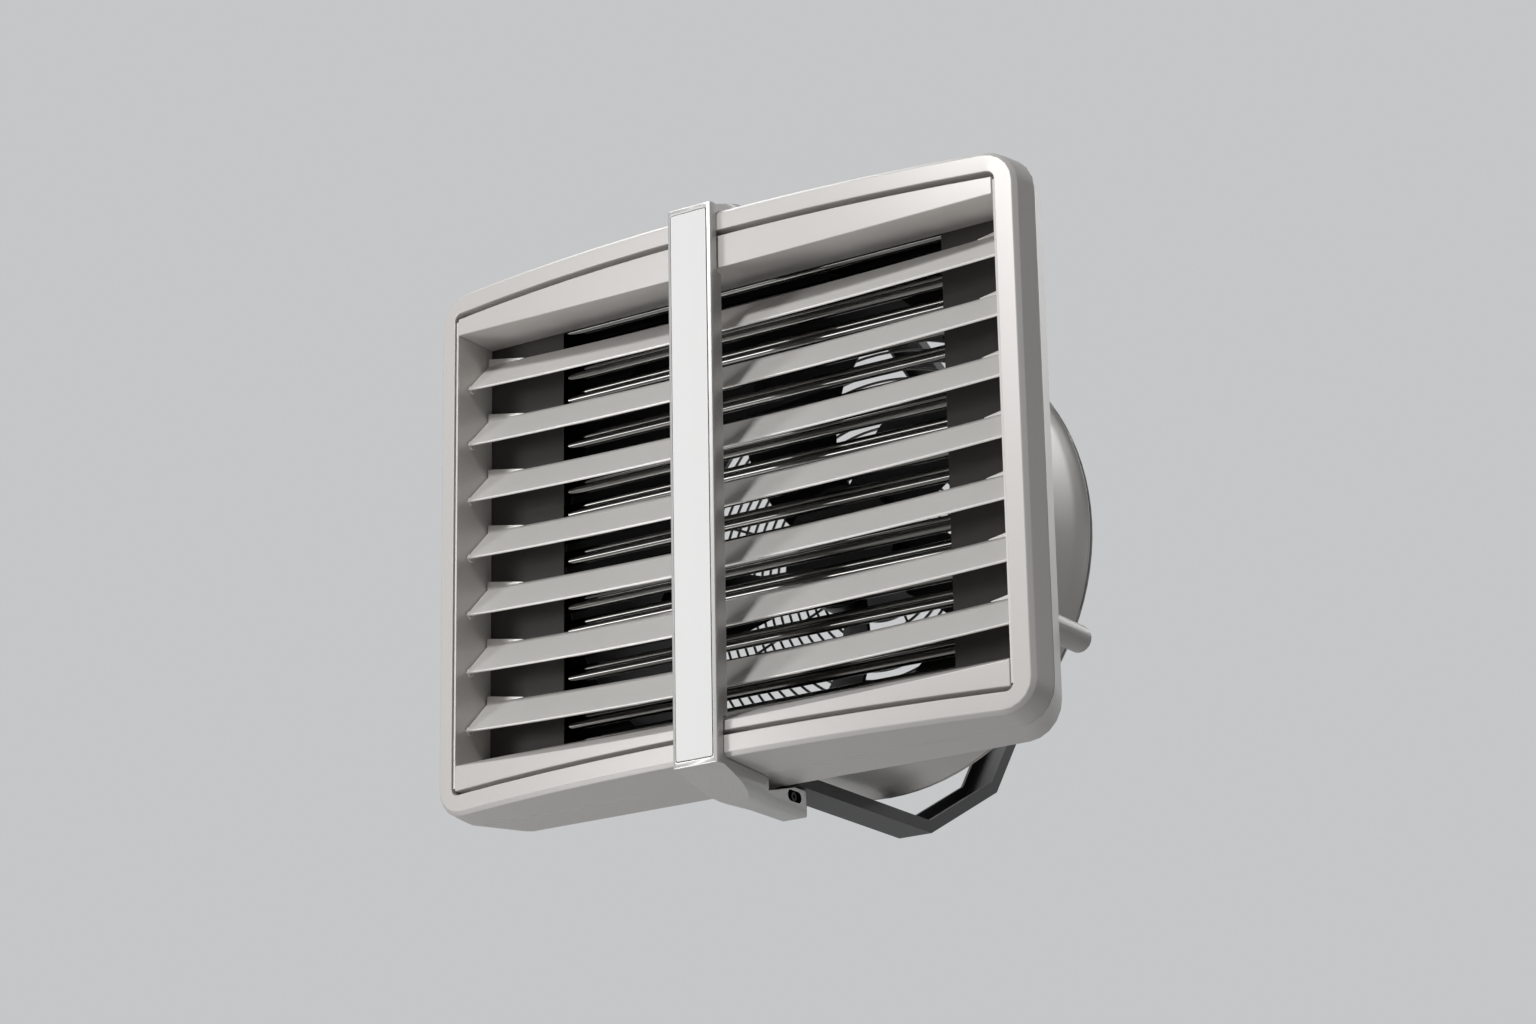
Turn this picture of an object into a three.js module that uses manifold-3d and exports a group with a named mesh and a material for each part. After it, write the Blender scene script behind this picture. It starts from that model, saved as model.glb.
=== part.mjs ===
// Ceiling or wall mounted fan heater on a swivelling steel console.
// Millimetres, +Z up, front of the heater towards -Y.
// The origin is the middle of the console's wall face, so the whole object lies at negative Y.
// The heater itself is built in its own group, where y = 0 is the foremost point of the frame's bowed face.

import * as THREE from "three";
import { mergeVertices } from "three/addons/utils/BufferGeometryUtils.js";
import Module from "manifold-3d";

const wasm = await Module();
wasm.setup();

// ---------------------------------------------------------------- driving dimensions

// clearances
const GAP = 0.3; // between fixed pieces that touch
const PIN_CLEARANCE = 0.4; // round a louver pin or a bolt
const PIPE_CLEARANCE = 1.2; // round a pipe where it leaves the casing

// front frame
const FACE_HALF_WIDTH = 343.5;
const FACE_ABOVE_BELL = 17; // the face's half height over the radius of the fan duct's base
const FACE_BORDER = 17.3;
const FACE_CORNER_R = 29;
const FACE_BOW = 35; // how far the face's sides lie behind its middle
const CHAMFER = 4;
const SIDE_FLARE = 3.5; // the side walls spread this much towards the seam
const SEAM_Y = 66;
const SHELL = 3; // wall of the moulded casings
const OPENING_CORNER_R = 8;
const OPENING_LIP_DEPTH = 14;
const CORNER_STEPS = 5;

// rear casing
const REAR_EDGE_Y = 122;
const REAR_FACE_Y = 128;
const REAR_SIDE_TAPER = 24;
const REAR_TOP_TAPER = 1;
const REAR_FACE_SIDE_STEP = 4; // the flat rear face is this much narrower than the edge round it
const BELL_SEAT_MARGIN = 3; // flat of the rear face above and below the fan duct's base
const REAR_FACE_CORNER_R = 26;

// fan duct (bell) behind the rear casing
const BELL_BASE_R = 259;
const BELL_TAPER = 15; // from the base to the throat
const BELL_RIM_STEP = 10.7; // from the base to the rim
const BELL_RIM_Y = 339.5;
const BELL_RIM_LAND = 3.5;
const BELL_BASE_LAND = 10;
const BELL_WAIST_DEPTH = 70;
const BELL_THROAT_LENGTH = 30;
const BELL_FLARE_LENGTH = 15;
const BELL_WALL = 3;

// louvers, drawn as they stand in the middle of the row's setting
const LOUVER_COUNT = 7;
const LOUVER_TOP_ROOM = 78.5; // from the opening's edge to the front edge of the highest louver
const LOUVER_BOTTOM_ROOM = 71.1; // and of the lowest
const LOUVER_TIP_Y = 48;
const LOUVER_ANGLE = THREE.MathUtils.degToRad(45); // rear edge above the front edge
const LOUVER_CHORD = 54;
const LOUVER_BOW = 15; // both edges run forward and down by this much at mid-width
const LOUVER_THICKNESS = 2.6;
const LOUVER_PIVOT_ALONG = 5; // pivot from the front edge, along the blade
const LOUVER_PIVOT_BELOW = 4; // and below its upper face
const LOUVER_BOSS_R = 4.6;
const LOUVER_BOSS_LENGTH = 3;
const LOUVER_PIN_R = 2.5;
const LOUVER_PIN_REACH = 2; // into the duct wall
const LOUVER_END_CLEARANCE = 1.2;
const LOUVER_SLICES = 12;

// duct behind the frame: two side walls, two deflector panels and the mask
const PANEL_GROOVE = 5; // open groove between the frame's opening and a panel
const DUCT_WALL = 2.5;
const DUCT_WALL_GAP = 0.6; // beside the frame's opening lip
const DUCT_FRONT_SET_BACK = 3;
const MASK_Y = 92;
const MASK_THICKNESS = 1.2;
const MASK_BORDER = 113.5; // inwards from the face's edge
const PANEL_SET_BACK = 2;
const PANEL_WALL = 3;
const PANEL_RETURN_GAP = 1; // between the frame's opening lip and the panel's return behind it
const PANEL_DROOP = 16.6; // the inner edge of both panels hangs lower at mid-width
const TOP_PANEL_REACH = 23.2; // from the opening's edge to the panel's inner edge, at the ends
const BOTTOM_PANEL_REACH = 31.2;
const BOTTOM_PANEL_BACK_REACH = 51.7;

// heat exchanger
const TUBE_R = 4.75;
const TUBE_PITCH = 25;
const COIL_END_ROOM = 38; // from the face's edge to the outermost tube, at the least
const COIL_SIDE_ROOM = 55.5; // from the face's edge to an end plate
const FRONT_ROW_Y = 101;
const REAR_ROW_Y = 116;
const END_PLATE_THICKNESS = 2;
const END_PLATE_MARGIN = 8;
const HEADER_R = 13.5;
const HEADER_END_ROOM = 31; // from the face's edge
const STUB_R = 13.5;
const STUB_BORE_R = 10;
const STUB_END_ROOM = 80; // from the header's lower end up to the pipe
const STUB_END_Y = 205;
const GROMMET_R = 18;
const GROMMET_THICKNESS = 2.5;

// fan and motor
const FAN_BLADES = 5;
const FAN_TURN = THREE.MathUtils.degToRad(36); // of the first blade's root from upright
const FAN_TIP_GAP = 6;
const HUB_R = 66;
const HUB_FRONT_Y = 255;
const HUB_REAR_Y = 316;
const HUB_CAP = 3;
const ROTOR_R = 54;
const ROTOR_REAR_Y = 319.5;
const STATOR_R = 58;
const MOTOR_AIR_GAP = 1.5;
const SHAFT_R = 6;
const SHAFT_FRONT_Y = 268;
const BLADE_PITCH_ROOT = THREE.MathUtils.degToRad(42);
const BLADE_PITCH_TIP = THREE.MathUtils.degToRad(24);
const BLADE_CHORD_ROOT = 78;
const BLADE_CHORD_TIP = 118;
const BLADE_SWEEP = THREE.MathUtils.degToRad(24);
const BLADE_THICKNESS = 3;

// guard grille behind the fan
const GUARD_Y = 341.2;
const GUARD_WIRE = 3;
const GUARD_RINGS = 6;
const GUARD_SPOKES = 8;
const GUARD_PLATE_R = 60;
const GUARD_FOOT_WIDTH = 12;

// centre band with its two lugs
const BAND_HALF_WIDTH = 26.4;
const BAND_PROUD = 10.9; // in front of the frame's face
const BAND_OVERHANG = 6.9; // beyond the frame's chamfered edge, above and below
const BAND_EDGE_R = 4;
const BAND_SEAT_GAP = 0.5;
const BAND_RIB_Y = 7; // the band is deeper where it crosses the opening
const BAND_RIB_END_GAP = 5; // between the rib and the deflector panels
const BAND_LOWER_EDGE_R = 16; // of the band's deepest part, where it passes the seam
const LUG_RAMP_END_Y = 60;
const LUG_SLOT_Y = 82; // behind this the lug runs on clear of the casing
const LUG_SLOT_DEPTH = 14; // of the slot's front end, measured from the seat of the swivel
const LUG_SEAT_Y = 134;
const LUG_TAPER_END_Y = 100;
const LUG_HALF_WIDTH = 18.6;
const LUG_END_R = 14; // of the lug's rear end, seen from the side
const LUG_PLATE = 26;
const LUG_TO_ARM = 3; // room for the spacer between the lug and the console's arm
const LUG_EDGE_R = 12;
const COVER_MARGIN = 4.6;
const COVER_THICKNESS = 1.6;
const COVER_PROUD = 0.4;
const COVER_CORNER_R = 2;

// console and swivel joint
const SWIVEL_Y = 150;
const WALL_FACE_Y = 600;
const CONSOLE_HALF_WIDTH = 19.6;
const CONSOLE_FLANGE = 13;
const CONSOLE_STEEL = 3;
const ARM_ABOVE_BELL = 20; // outer face of the straight arms over the radius of the fan duct's base
const CONSOLE_BEND_1_Y = 390;
const CONSOLE_BEND_2_Y = 527;
const CONSOLE_BEND_2_DROP = 70.5; // from the straight arm
const CONSOLE_BEND_3_DROP = 171;
const WALL_HOLE_R = 5.5;
const WALL_HOLE_Z = 70;
const BOLT_R = 4;
const BOLT_HEAD_R = 7.5;
const BOLT_HEAD_HEIGHT = 5.5;
const BOLT_SOCKET_DEPTH = 3;
const BOLT_FLOOR = 4; // left of the lug's plate beyond the bolt's end
const WASHER_R = 10;
const WASHER_THICKNESS = 1.6;
const SPACER_R = 12;
const LOCK_SCREW_Y = 134;
const LOCK_SCREW_BELOW_SEAT = 9; // from the swivel's seat on the lug to the screw's axis
const LOCK_SCREW_HEAD_R = 4.6;
const LOCK_SCREW_HEAD_LENGTH = 4;
const LOCK_SCREW_R = 2.5;
const LOCK_SCREW_LENGTH = 12;
const LOCK_RECESS_CLEARANCE = 1;
const LOCK_RECESS_RUN = 13; // the recess is this much longer than it is high
const LOCK_RECESS_DEPTH = 5;

// small parts on the rear face
const SCREW_HEAD_R = 5;
const SCREW_HEAD_HEIGHT = 3;
const SCREW_INSET = 20;
const TERMINAL_BOX = new THREE.Vector3(48, 38, 74);
const TERMINAL_BOX_EDGE_GAP = 6; // from the rear face's edge
const TERMINAL_BOX_Z = 148;
const TERMINAL_LID = 4;
const TERMINAL_LID_MARGIN = 1.5;
const GLAND_R = 9;
const GLAND_LENGTH = 16;
const GLAND_BORE_R = 4;

// ---------------------------------------------------------------- derived places

const FACE_HALF_HEIGHT = BELL_BASE_R + FACE_ABOVE_BELL;
const BELL_THROAT_R = BELL_BASE_R - BELL_TAPER;
const BELL_RIM_R = BELL_BASE_R - BELL_RIM_STEP;

const BOW_R = (FACE_HALF_WIDTH ** 2 + FACE_BOW ** 2) / (2 * FACE_BOW);
const bowY = (x) => BOW_R - Math.sqrt(BOW_R ** 2 - x ** 2);

const EDGE_HALF_WIDTH = FACE_HALF_WIDTH + CHAMFER;
const EDGE_HALF_HEIGHT = FACE_HALF_HEIGHT + CHAMFER;
const SEAM_HALF_WIDTH = EDGE_HALF_WIDTH + SIDE_FLARE;
const SEAM_HALF_HEIGHT = EDGE_HALF_HEIGHT + SIDE_FLARE;
const SEAM_CORNER_R = FACE_CORNER_R + CHAMFER + SIDE_FLARE;
const REAR_FACE_HALF_WIDTH = SEAM_HALF_WIDTH - REAR_SIDE_TAPER - REAR_FACE_SIDE_STEP;
const REAR_FACE_HALF_HEIGHT = BELL_BASE_R + BELL_SEAT_MARGIN;
const OPENING_HALF_WIDTH = FACE_HALF_WIDTH - FACE_BORDER;
const OPENING_HALF_HEIGHT = FACE_HALF_HEIGHT - FACE_BORDER;
const DUCT_HALF_WIDTH = OPENING_HALF_WIDTH - DUCT_WALL_GAP - DUCT_WALL;
const DUCT_HALF_HEIGHT = OPENING_HALF_HEIGHT - OPENING_CORNER_R;
const PANEL_OUTER_Z = OPENING_HALF_HEIGHT - PANEL_GROOVE;
const TOP_PANEL_EDGE_Z = OPENING_HALF_HEIGHT - TOP_PANEL_REACH;
const BOTTOM_PANEL_EDGE_Z = -OPENING_HALF_HEIGHT + BOTTOM_PANEL_REACH;
const BOTTOM_PANEL_BACK_Z = -OPENING_HALF_HEIGHT + BOTTOM_PANEL_BACK_REACH;
const DUCT_BACK_Y = MASK_Y - GAP;
const MASK_OPENING_HALF_WIDTH = FACE_HALF_WIDTH - MASK_BORDER;
const FRONT_ROW_TUBES = 1 + Math.floor((2 * (FACE_HALF_HEIGHT - COIL_END_ROOM)) / TUBE_PITCH);
const END_PLATE_X = FACE_HALF_WIDTH - COIL_SIDE_ROOM;
const HEADER_HALF_LENGTH = FACE_HALF_HEIGHT - HEADER_END_ROOM;
const HEADER_Y = (FRONT_ROW_Y + REAR_ROW_Y) / 2;
const STUB_Z = STUB_END_ROOM - HEADER_HALF_LENGTH;
const HEADER_X = END_PLATE_X + END_PLATE_THICKNESS / 2 + GAP + HEADER_R;
const FAN_TIP_R = BELL_THROAT_R - BELL_WALL - FAN_TIP_GAP;
const BAND_HALF_HEIGHT = EDGE_HALF_HEIGHT + BAND_OVERHANG;
const BAND_RIB_TOP_Z = TOP_PANEL_EDGE_Z - PANEL_DROOP - BAND_RIB_END_GAP;
const BAND_RIB_BOTTOM_Z = BOTTOM_PANEL_EDGE_Z - PANEL_DROOP + BAND_RIB_END_GAP;
const CONSOLE_ARM_Z = BELL_BASE_R + ARM_ABOVE_BELL;
const LUG_INNER_Z = CONSOLE_ARM_Z + LUG_TO_ARM;
const LUG_OUTER_Z = LUG_INNER_Z + LUG_PLATE;
const LOCK_SCREW_Z = LUG_INNER_Z + LOCK_SCREW_BELOW_SEAT;

const LOUVER_ALONG = new THREE.Vector2(Math.cos(LOUVER_ANGLE), Math.sin(LOUVER_ANGLE));
const LOUVER_BELOW = new THREE.Vector2(LOUVER_ALONG.y, -LOUVER_ALONG.x);
const LOUVER_TOP_TIP_Z = OPENING_HALF_HEIGHT - LOUVER_TOP_ROOM;
const LOUVER_PITCH = (LOUVER_TOP_TIP_Z + OPENING_HALF_HEIGHT - LOUVER_BOTTOM_ROOM) / (LOUVER_COUNT - 1);
const LOUVER_PIVOT = new THREE.Vector2(LOUVER_TIP_Y, LOUVER_TOP_TIP_Z)
  .addScaledVector(LOUVER_ALONG, LOUVER_PIVOT_ALONG)
  .addScaledVector(LOUVER_BELOW, LOUVER_PIVOT_BELOW);

// ---------------------------------------------------------------- solid helpers

// A three.js geometry as a solid that can be cut and joined.
function toSolid(geometry) {
  const bare = geometry.clone();
  bare.deleteAttribute("normal");
  bare.deleteAttribute("uv");
  const merged = mergeVertices(bare, 1e-4);
  const triVerts = new Uint32Array(merged.index.array);
  const vertProperties = new Float32Array(merged.attributes.position.array);
  return new wasm.Manifold(new wasm.Mesh({ numProp: 3, vertProperties, triVerts }));
}

function toGeometry(solid) {
  const mesh = solid.getMesh();
  const geometry = new THREE.BufferGeometry();
  geometry.setAttribute("position", new THREE.BufferAttribute(new Float32Array(mesh.vertProperties), 3));
  geometry.setIndex(new THREE.BufferAttribute(new Uint32Array(mesh.triVerts), 1));
  geometry.computeVertexNormals();
  return geometry;
}

function join(first, ...others) {
  return toGeometry(others.reduce((sum, other) => sum.add(toSolid(other)), toSolid(first)));
}

function overlap(first, ...others) {
  return toGeometry(others.reduce((rest, other) => rest.intersect(toSolid(other)), toSolid(first)));
}

function cut(first, ...tools) {
  return toGeometry(tools.reduce((rest, tool) => rest.subtract(toSolid(tool)), toSolid(first)));
}

function signedVolume(points, faces) {
  const [a, b, c] = [new THREE.Vector3(), new THREE.Vector3(), new THREE.Vector3()];
  let volume = 0;
  for (const [i, j, k] of faces) {
    a.copy(points[i]);
    b.copy(points[j]);
    c.copy(points[k]);
    volume += a.dot(b.cross(c)) / 6;
  }
  return volume;
}

// Triangles that fill a flat ring, wound the way the ring runs.
function fillRing(ring) {
  const normal = new THREE.Vector3();
  ring.forEach((p, i) => normal.add(p.clone().cross(ring[(i + 1) % ring.length])));
  const size = [Math.abs(normal.x), Math.abs(normal.y), Math.abs(normal.z)];
  const [u, v] = ["xyz", "yzx", "zxy"][size.indexOf(Math.max(...size))].slice(1);
  const flat = ring.map((p) => new THREE.Vector2(p[u], p[v]));
  const triangles = THREE.ShapeUtils.triangulateShape(flat, []);
  return THREE.ShapeUtils.isClockWise(flat) ? triangles.map(([i, j, k]) => [i, k, j]) : triangles;
}

// Skins a row of rings that have equally many points. A closed loop of rings makes a frame,
// an open row gets a flat cap at each end.
function skin(rings, closedLoop = false) {
  const count = rings[0].length;
  const points = rings.flat();
  const faces = [];
  const spans = closedLoop ? rings.length : rings.length - 1;
  for (let i = 0; i < spans; i++) {
    const here = i * count;
    const next = ((i + 1) % rings.length) * count;
    for (let j = 0; j < count; j++) {
      const k = (j + 1) % count;
      faces.push([here + j, here + k, next + k], [here + j, next + k, next + j]);
    }
  }
  if (!closedLoop) {
    const last = (rings.length - 1) * count;
    fillRing(rings[0]).forEach(([i, j, k]) => faces.push([i, k, j]));
    fillRing(rings[rings.length - 1]).forEach(([i, j, k]) => faces.push([last + i, last + j, last + k]));
  }
  const outward = signedVolume(points, faces) > 0;
  const index = faces.flatMap(([i, j, k]) => (outward ? [i, j, k] : [i, k, j]));
  const geometry = new THREE.BufferGeometry().setFromPoints(points);
  geometry.setIndex(index);
  return geometry;
}

// Points round a rectangle with rounded corners, in the plane of x and z.
function roundedRectangle(halfWidth, halfHeight, radius, cornerSteps, sideSteps) {
  const points = [];
  const corners = [
    [1, 1, 0],
    [-1, 1, Math.PI / 2],
    [-1, -1, Math.PI],
    [1, -1, (3 * Math.PI) / 2],
  ];
  for (const [signX, signZ, start] of corners) {
    const centreX = signX * (halfWidth - radius);
    const centreZ = signZ * (halfHeight - radius);
    for (let i = 0; i <= cornerSteps; i++) {
      const angle = start + (i / cornerSteps) * (Math.PI / 2);
      points.push(new THREE.Vector2(centreX + radius * Math.cos(angle), centreZ + radius * Math.sin(angle)));
    }
    const horizontalSideNext = signX === signZ;
    if (horizontalSideNext) {
      for (let i = 1; i < sideSteps; i++) {
        const x = centreX * (1 - (2 * i) / sideSteps);
        points.push(new THREE.Vector2(x, signZ * halfHeight));
      }
    }
  }
  return points;
}

function ringAt(outline, y) {
  return outline.map((p) => new THREE.Vector3(p.x, typeof y === "function" ? y(p.x) : y, p.y));
}

// Prisms along each axis. Outlines are in (y, z), (x, z) and (x, y).
function prismAlongX(outline, xLow, xHigh) {
  return skin([xLow, xHigh].map((x) => outline.map((p) => new THREE.Vector3(x, p.x, p.y))));
}

function prismAlongY(outline, yLow, yHigh) {
  return skin([ringAt(outline, yLow), ringAt(outline, yHigh)]);
}

function prismAlongZ(outline, zLow, zHigh) {
  return skin([zLow, zHigh].map((z) => outline.map((p) => new THREE.Vector3(p.x, p.y, z))));
}

function boxBetween(low, high) {
  const size = new THREE.Vector3().subVectors(high, low);
  const middle = new THREE.Vector3().addVectors(high, low).multiplyScalar(0.5);
  return new THREE.BoxGeometry(size.x, size.y, size.z).translate(middle.x, middle.y, middle.z);
}

// Cylinders along each axis, from one coordinate to another.
function rodAlongX(radius, xLow, xHigh, y, z, sides = 12) {
  const rod = new THREE.CylinderGeometry(radius, radius, xHigh - xLow, sides);
  return rod.rotateZ(Math.PI / 2).translate((xLow + xHigh) / 2, y, z);
}

function rodAlongY(radius, yLow, yHigh, x, z, sides = 16) {
  return new THREE.CylinderGeometry(radius, radius, yHigh - yLow, sides).translate(x, (yLow + yHigh) / 2, z);
}

function rodAlongZ(radius, zLow, zHigh, x, y, sides = 16) {
  const rod = new THREE.CylinderGeometry(radius, radius, zHigh - zLow, sides);
  return rod.rotateX(Math.PI / 2).translate(x, y, (zLow + zHigh) / 2);
}

// ---------------------------------------------------------------- materials

function finish(red, green, blue, roughness, metalness = 0) {
  return new THREE.MeshStandardMaterial({
    color: new THREE.Color().setRGB(red, green, blue, THREE.SRGBColorSpace),
    roughness,
    metalness,
  });
}

const casingFinish = () => finish(0.78, 0.77, 0.75, 0.45);
const bandFinish = () => finish(0.82, 0.82, 0.82, 0.35, 0.3);
const coverFinish = () => finish(0.95, 0.95, 0.94, 0.3, 0.1);
const ductFinish = () => finish(0.34, 0.33, 0.32, 0.6);
const consoleFinish = () => finish(0.07, 0.07, 0.08, 0.5, 0.2);
const tubeFinish = () => finish(0.88, 0.87, 0.85, 0.15, 1);
const headerFinish = () => finish(0.72, 0.45, 0.3, 0.35, 1);
const pipeFinish = () => finish(0.5, 0.49, 0.47, 0.5, 0.4);
const fanFinish = () => finish(0.05, 0.05, 0.05, 0.55);
const guardFinish = () => finish(0.62, 0.61, 0.59, 0.4, 0.3);
const motorFinish = () => finish(0.12, 0.12, 0.13, 0.4, 0.4);
const boltFinish = () => finish(0.1, 0.1, 0.1, 0.4, 0.6);
const zincFinish = () => finish(0.66, 0.66, 0.67, 0.35, 0.9);

function piece(name, geometry, material) {
  const mesh = new THREE.Mesh(geometry, material);
  mesh.name = name;
  return mesh;
}

// ---------------------------------------------------------------- casing

function buildFrontFrame() {
  const sideSteps = 10;
  const ring = (inset, radius, y) => {
    const outline = roundedRectangle(
      SEAM_HALF_WIDTH - inset,
      SEAM_HALF_HEIGHT - inset,
      radius,
      CORNER_STEPS,
      sideSteps,
    );
    return ringAt(outline, y);
  };
  const behindFace = (depth) => (x) => bowY(x) + depth;
  const faceInset = SIDE_FLARE + CHAMFER;
  const openingInset = faceInset + FACE_BORDER;
  const lipInset = openingInset - SHELL;
  const lipCornerR = OPENING_CORNER_R + SHELL;
  return skin(
    [
      ring(0, SEAM_CORNER_R, SEAM_Y),
      ring(SIDE_FLARE, FACE_CORNER_R + CHAMFER, behindFace(CHAMFER)),
      ring(faceInset, FACE_CORNER_R, behindFace(0)),
      ring(openingInset, OPENING_CORNER_R, behindFace(0)),
      ring(openingInset, OPENING_CORNER_R, behindFace(OPENING_LIP_DEPTH)),
      ring(lipInset, lipCornerR, behindFace(OPENING_LIP_DEPTH)),
      ring(lipInset, lipCornerR, behindFace(SHELL)),
      ring(SIDE_FLARE + SHELL, FACE_CORNER_R + CHAMFER - SHELL, behindFace(CHAMFER + SHELL / 2)),
      ring(SHELL, SEAM_CORNER_R - SHELL, SEAM_Y),
    ],
    true,
  );
}

function buildRearCasing() {
  const shape = (halfWidth, halfHeight, radius, y) =>
    ringAt(roundedRectangle(halfWidth, halfHeight, radius, CORNER_STEPS, 1), y);
  const edgeHalfWidth = SEAM_HALF_WIDTH - REAR_SIDE_TAPER;
  const edgeHalfHeight = SEAM_HALF_HEIGHT - REAR_TOP_TAPER;
  const shell = (inset, seamY, edgeY, faceY) =>
    skin([
      shape(SEAM_HALF_WIDTH - inset, SEAM_HALF_HEIGHT - inset, SEAM_CORNER_R - inset, seamY),
      shape(edgeHalfWidth - inset, edgeHalfHeight - inset, SEAM_CORNER_R - inset, edgeY),
      shape(REAR_FACE_HALF_WIDTH - inset, REAR_FACE_HALF_HEIGHT - inset, REAR_FACE_CORNER_R - inset, faceY),
    ]);
  const outside = shell(0, SEAM_Y + GAP, REAR_EDGE_Y, REAR_FACE_Y);
  const inside = shell(SHELL, SEAM_Y, REAR_EDGE_Y - SHELL / 2, REAR_FACE_Y - SHELL);
  const holes = [
    rodAlongY(BELL_BASE_R - 2 * BELL_WALL, REAR_FACE_Y - 2 * SHELL, REAR_FACE_Y + SHELL, 0, 0, 48),
  ];
  for (const side of [-1, 1]) {
    holes.push(
      rodAlongY(STUB_R + PIPE_CLEARANCE, REAR_FACE_Y - 2 * SHELL, REAR_FACE_Y + SHELL, side * HEADER_X, STUB_Z),
    );
  }
  return cut(outside, inside, ...holes);
}

function buildFanBell() {
  const baseY = REAR_FACE_Y + GAP;
  const throatY = BELL_RIM_Y - BELL_THROAT_LENGTH;
  const waistR = (BELL_BASE_R + 2 * BELL_THROAT_R) / 3;
  const shoulderR = BELL_BASE_R - BELL_WALL;
  const outer = [
    new THREE.Vector2(BELL_BASE_R, baseY),
    new THREE.Vector2(shoulderR, baseY + BELL_BASE_LAND),
    new THREE.Vector2(waistR, baseY + BELL_WAIST_DEPTH),
    new THREE.Vector2(BELL_THROAT_R, throatY),
    new THREE.Vector2(BELL_THROAT_R + BELL_WALL / 2, throatY + BELL_FLARE_LENGTH),
    new THREE.Vector2(BELL_RIM_R, BELL_RIM_Y - BELL_RIM_LAND),
    new THREE.Vector2(BELL_RIM_R, BELL_RIM_Y),
  ];
  const inner = [
    new THREE.Vector2(BELL_RIM_R - BELL_WALL, BELL_RIM_Y),
    new THREE.Vector2(BELL_THROAT_R - BELL_WALL, throatY + BELL_FLARE_LENGTH),
    new THREE.Vector2(BELL_THROAT_R - BELL_WALL, throatY),
    new THREE.Vector2(waistR - BELL_WALL, baseY + BELL_WAIST_DEPTH),
    new THREE.Vector2(shoulderR - BELL_WALL, baseY + BELL_BASE_LAND),
    new THREE.Vector2(BELL_BASE_R - BELL_WALL, baseY),
  ];
  const profile = [...outer, ...inner, outer[0].clone()];
  return new THREE.LatheGeometry(profile, 44);
}

// ---------------------------------------------------------------- duct, panels and louvers

const louverPivotZ = (index) => LOUVER_PIVOT.y - index * LOUVER_PITCH;

function buildDuctWall(side) {
  const inner = side * DUCT_HALF_WIDTH;
  const outer = side * (DUCT_HALF_WIDTH + DUCT_WALL);
  const [xLow, xHigh] = [Math.min(inner, outer), Math.max(inner, outer)];
  const wall = boxBetween(
    new THREE.Vector3(xLow, bowY(DUCT_HALF_WIDTH) + DUCT_FRONT_SET_BACK, -DUCT_HALF_HEIGHT),
    new THREE.Vector3(xHigh, DUCT_BACK_Y, DUCT_HALF_HEIGHT),
  );
  const holes = [];
  for (let i = 0; i < LOUVER_COUNT; i++) {
    const radius = LOUVER_PIN_R + PIN_CLEARANCE;
    holes.push(rodAlongX(radius, xLow - 1, xHigh + 1, LOUVER_PIVOT.x, louverPivotZ(i), 10));
  }
  return cut(wall, ...holes);
}

// A deflector panel: a bowed front face, a surface that runs back from it to the mask, and a return
// that closes the groove behind the frame's opening lip.
function buildDeflector(outerZ, edgeZ, backZ) {
  const outward = Math.sign(outerZ);
  const slices = 12;
  const halfLength = DUCT_HALF_WIDTH - GAP;
  const rings = [];
  for (let i = 0; i <= slices; i++) {
    const x = halfLength * ((2 * i) / slices - 1);
    const front = bowY(x) + PANEL_SET_BACK;
    const edge = edgeZ - PANEL_DROOP * (1 - (x / halfLength) ** 2);
    const wall = outward * PANEL_WALL;
    const returnFront = bowY(x) + OPENING_LIP_DEPTH + PANEL_RETURN_GAP;
    const returnZ = outward * (OPENING_HALF_HEIGHT + SHELL / 2);
    rings.push([
      new THREE.Vector3(x, front, outerZ),
      new THREE.Vector3(x, front, edge),
      new THREE.Vector3(x, DUCT_BACK_Y, backZ),
      new THREE.Vector3(x, DUCT_BACK_Y, backZ + wall),
      new THREE.Vector3(x, front + PANEL_WALL, edge + wall),
      new THREE.Vector3(x, front + PANEL_WALL, outerZ - wall),
      new THREE.Vector3(x, returnFront + PANEL_WALL, outerZ - wall),
      new THREE.Vector3(x, returnFront + PANEL_WALL, returnZ),
      new THREE.Vector3(x, returnFront, returnZ),
      new THREE.Vector3(x, returnFront, outerZ),
    ]);
  }
  return skin(rings);
}

function buildMask() {
  const inset = SHELL + GAP;
  const share = (MASK_Y + MASK_THICKNESS - SEAM_Y) / (REAR_EDGE_Y - SHELL / 2 - SEAM_Y);
  const halfWidth = SEAM_HALF_WIDTH - REAR_SIDE_TAPER * share - inset;
  const halfHeight = SEAM_HALF_HEIGHT - REAR_TOP_TAPER * share - inset;
  const outline = roundedRectangle(halfWidth, halfHeight, SEAM_CORNER_R - inset, CORNER_STEPS, 1);
  const plate = prismAlongY(outline, MASK_Y, MASK_Y + MASK_THICKNESS);
  const opening = boxBetween(
    new THREE.Vector3(-MASK_OPENING_HALF_WIDTH, MASK_Y - 1, BOTTOM_PANEL_BACK_Z),
    new THREE.Vector3(MASK_OPENING_HALF_WIDTH, MASK_Y + MASK_THICKNESS + 1, TOP_PANEL_EDGE_Z),
  );
  return cut(plate, opening);
}

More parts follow.
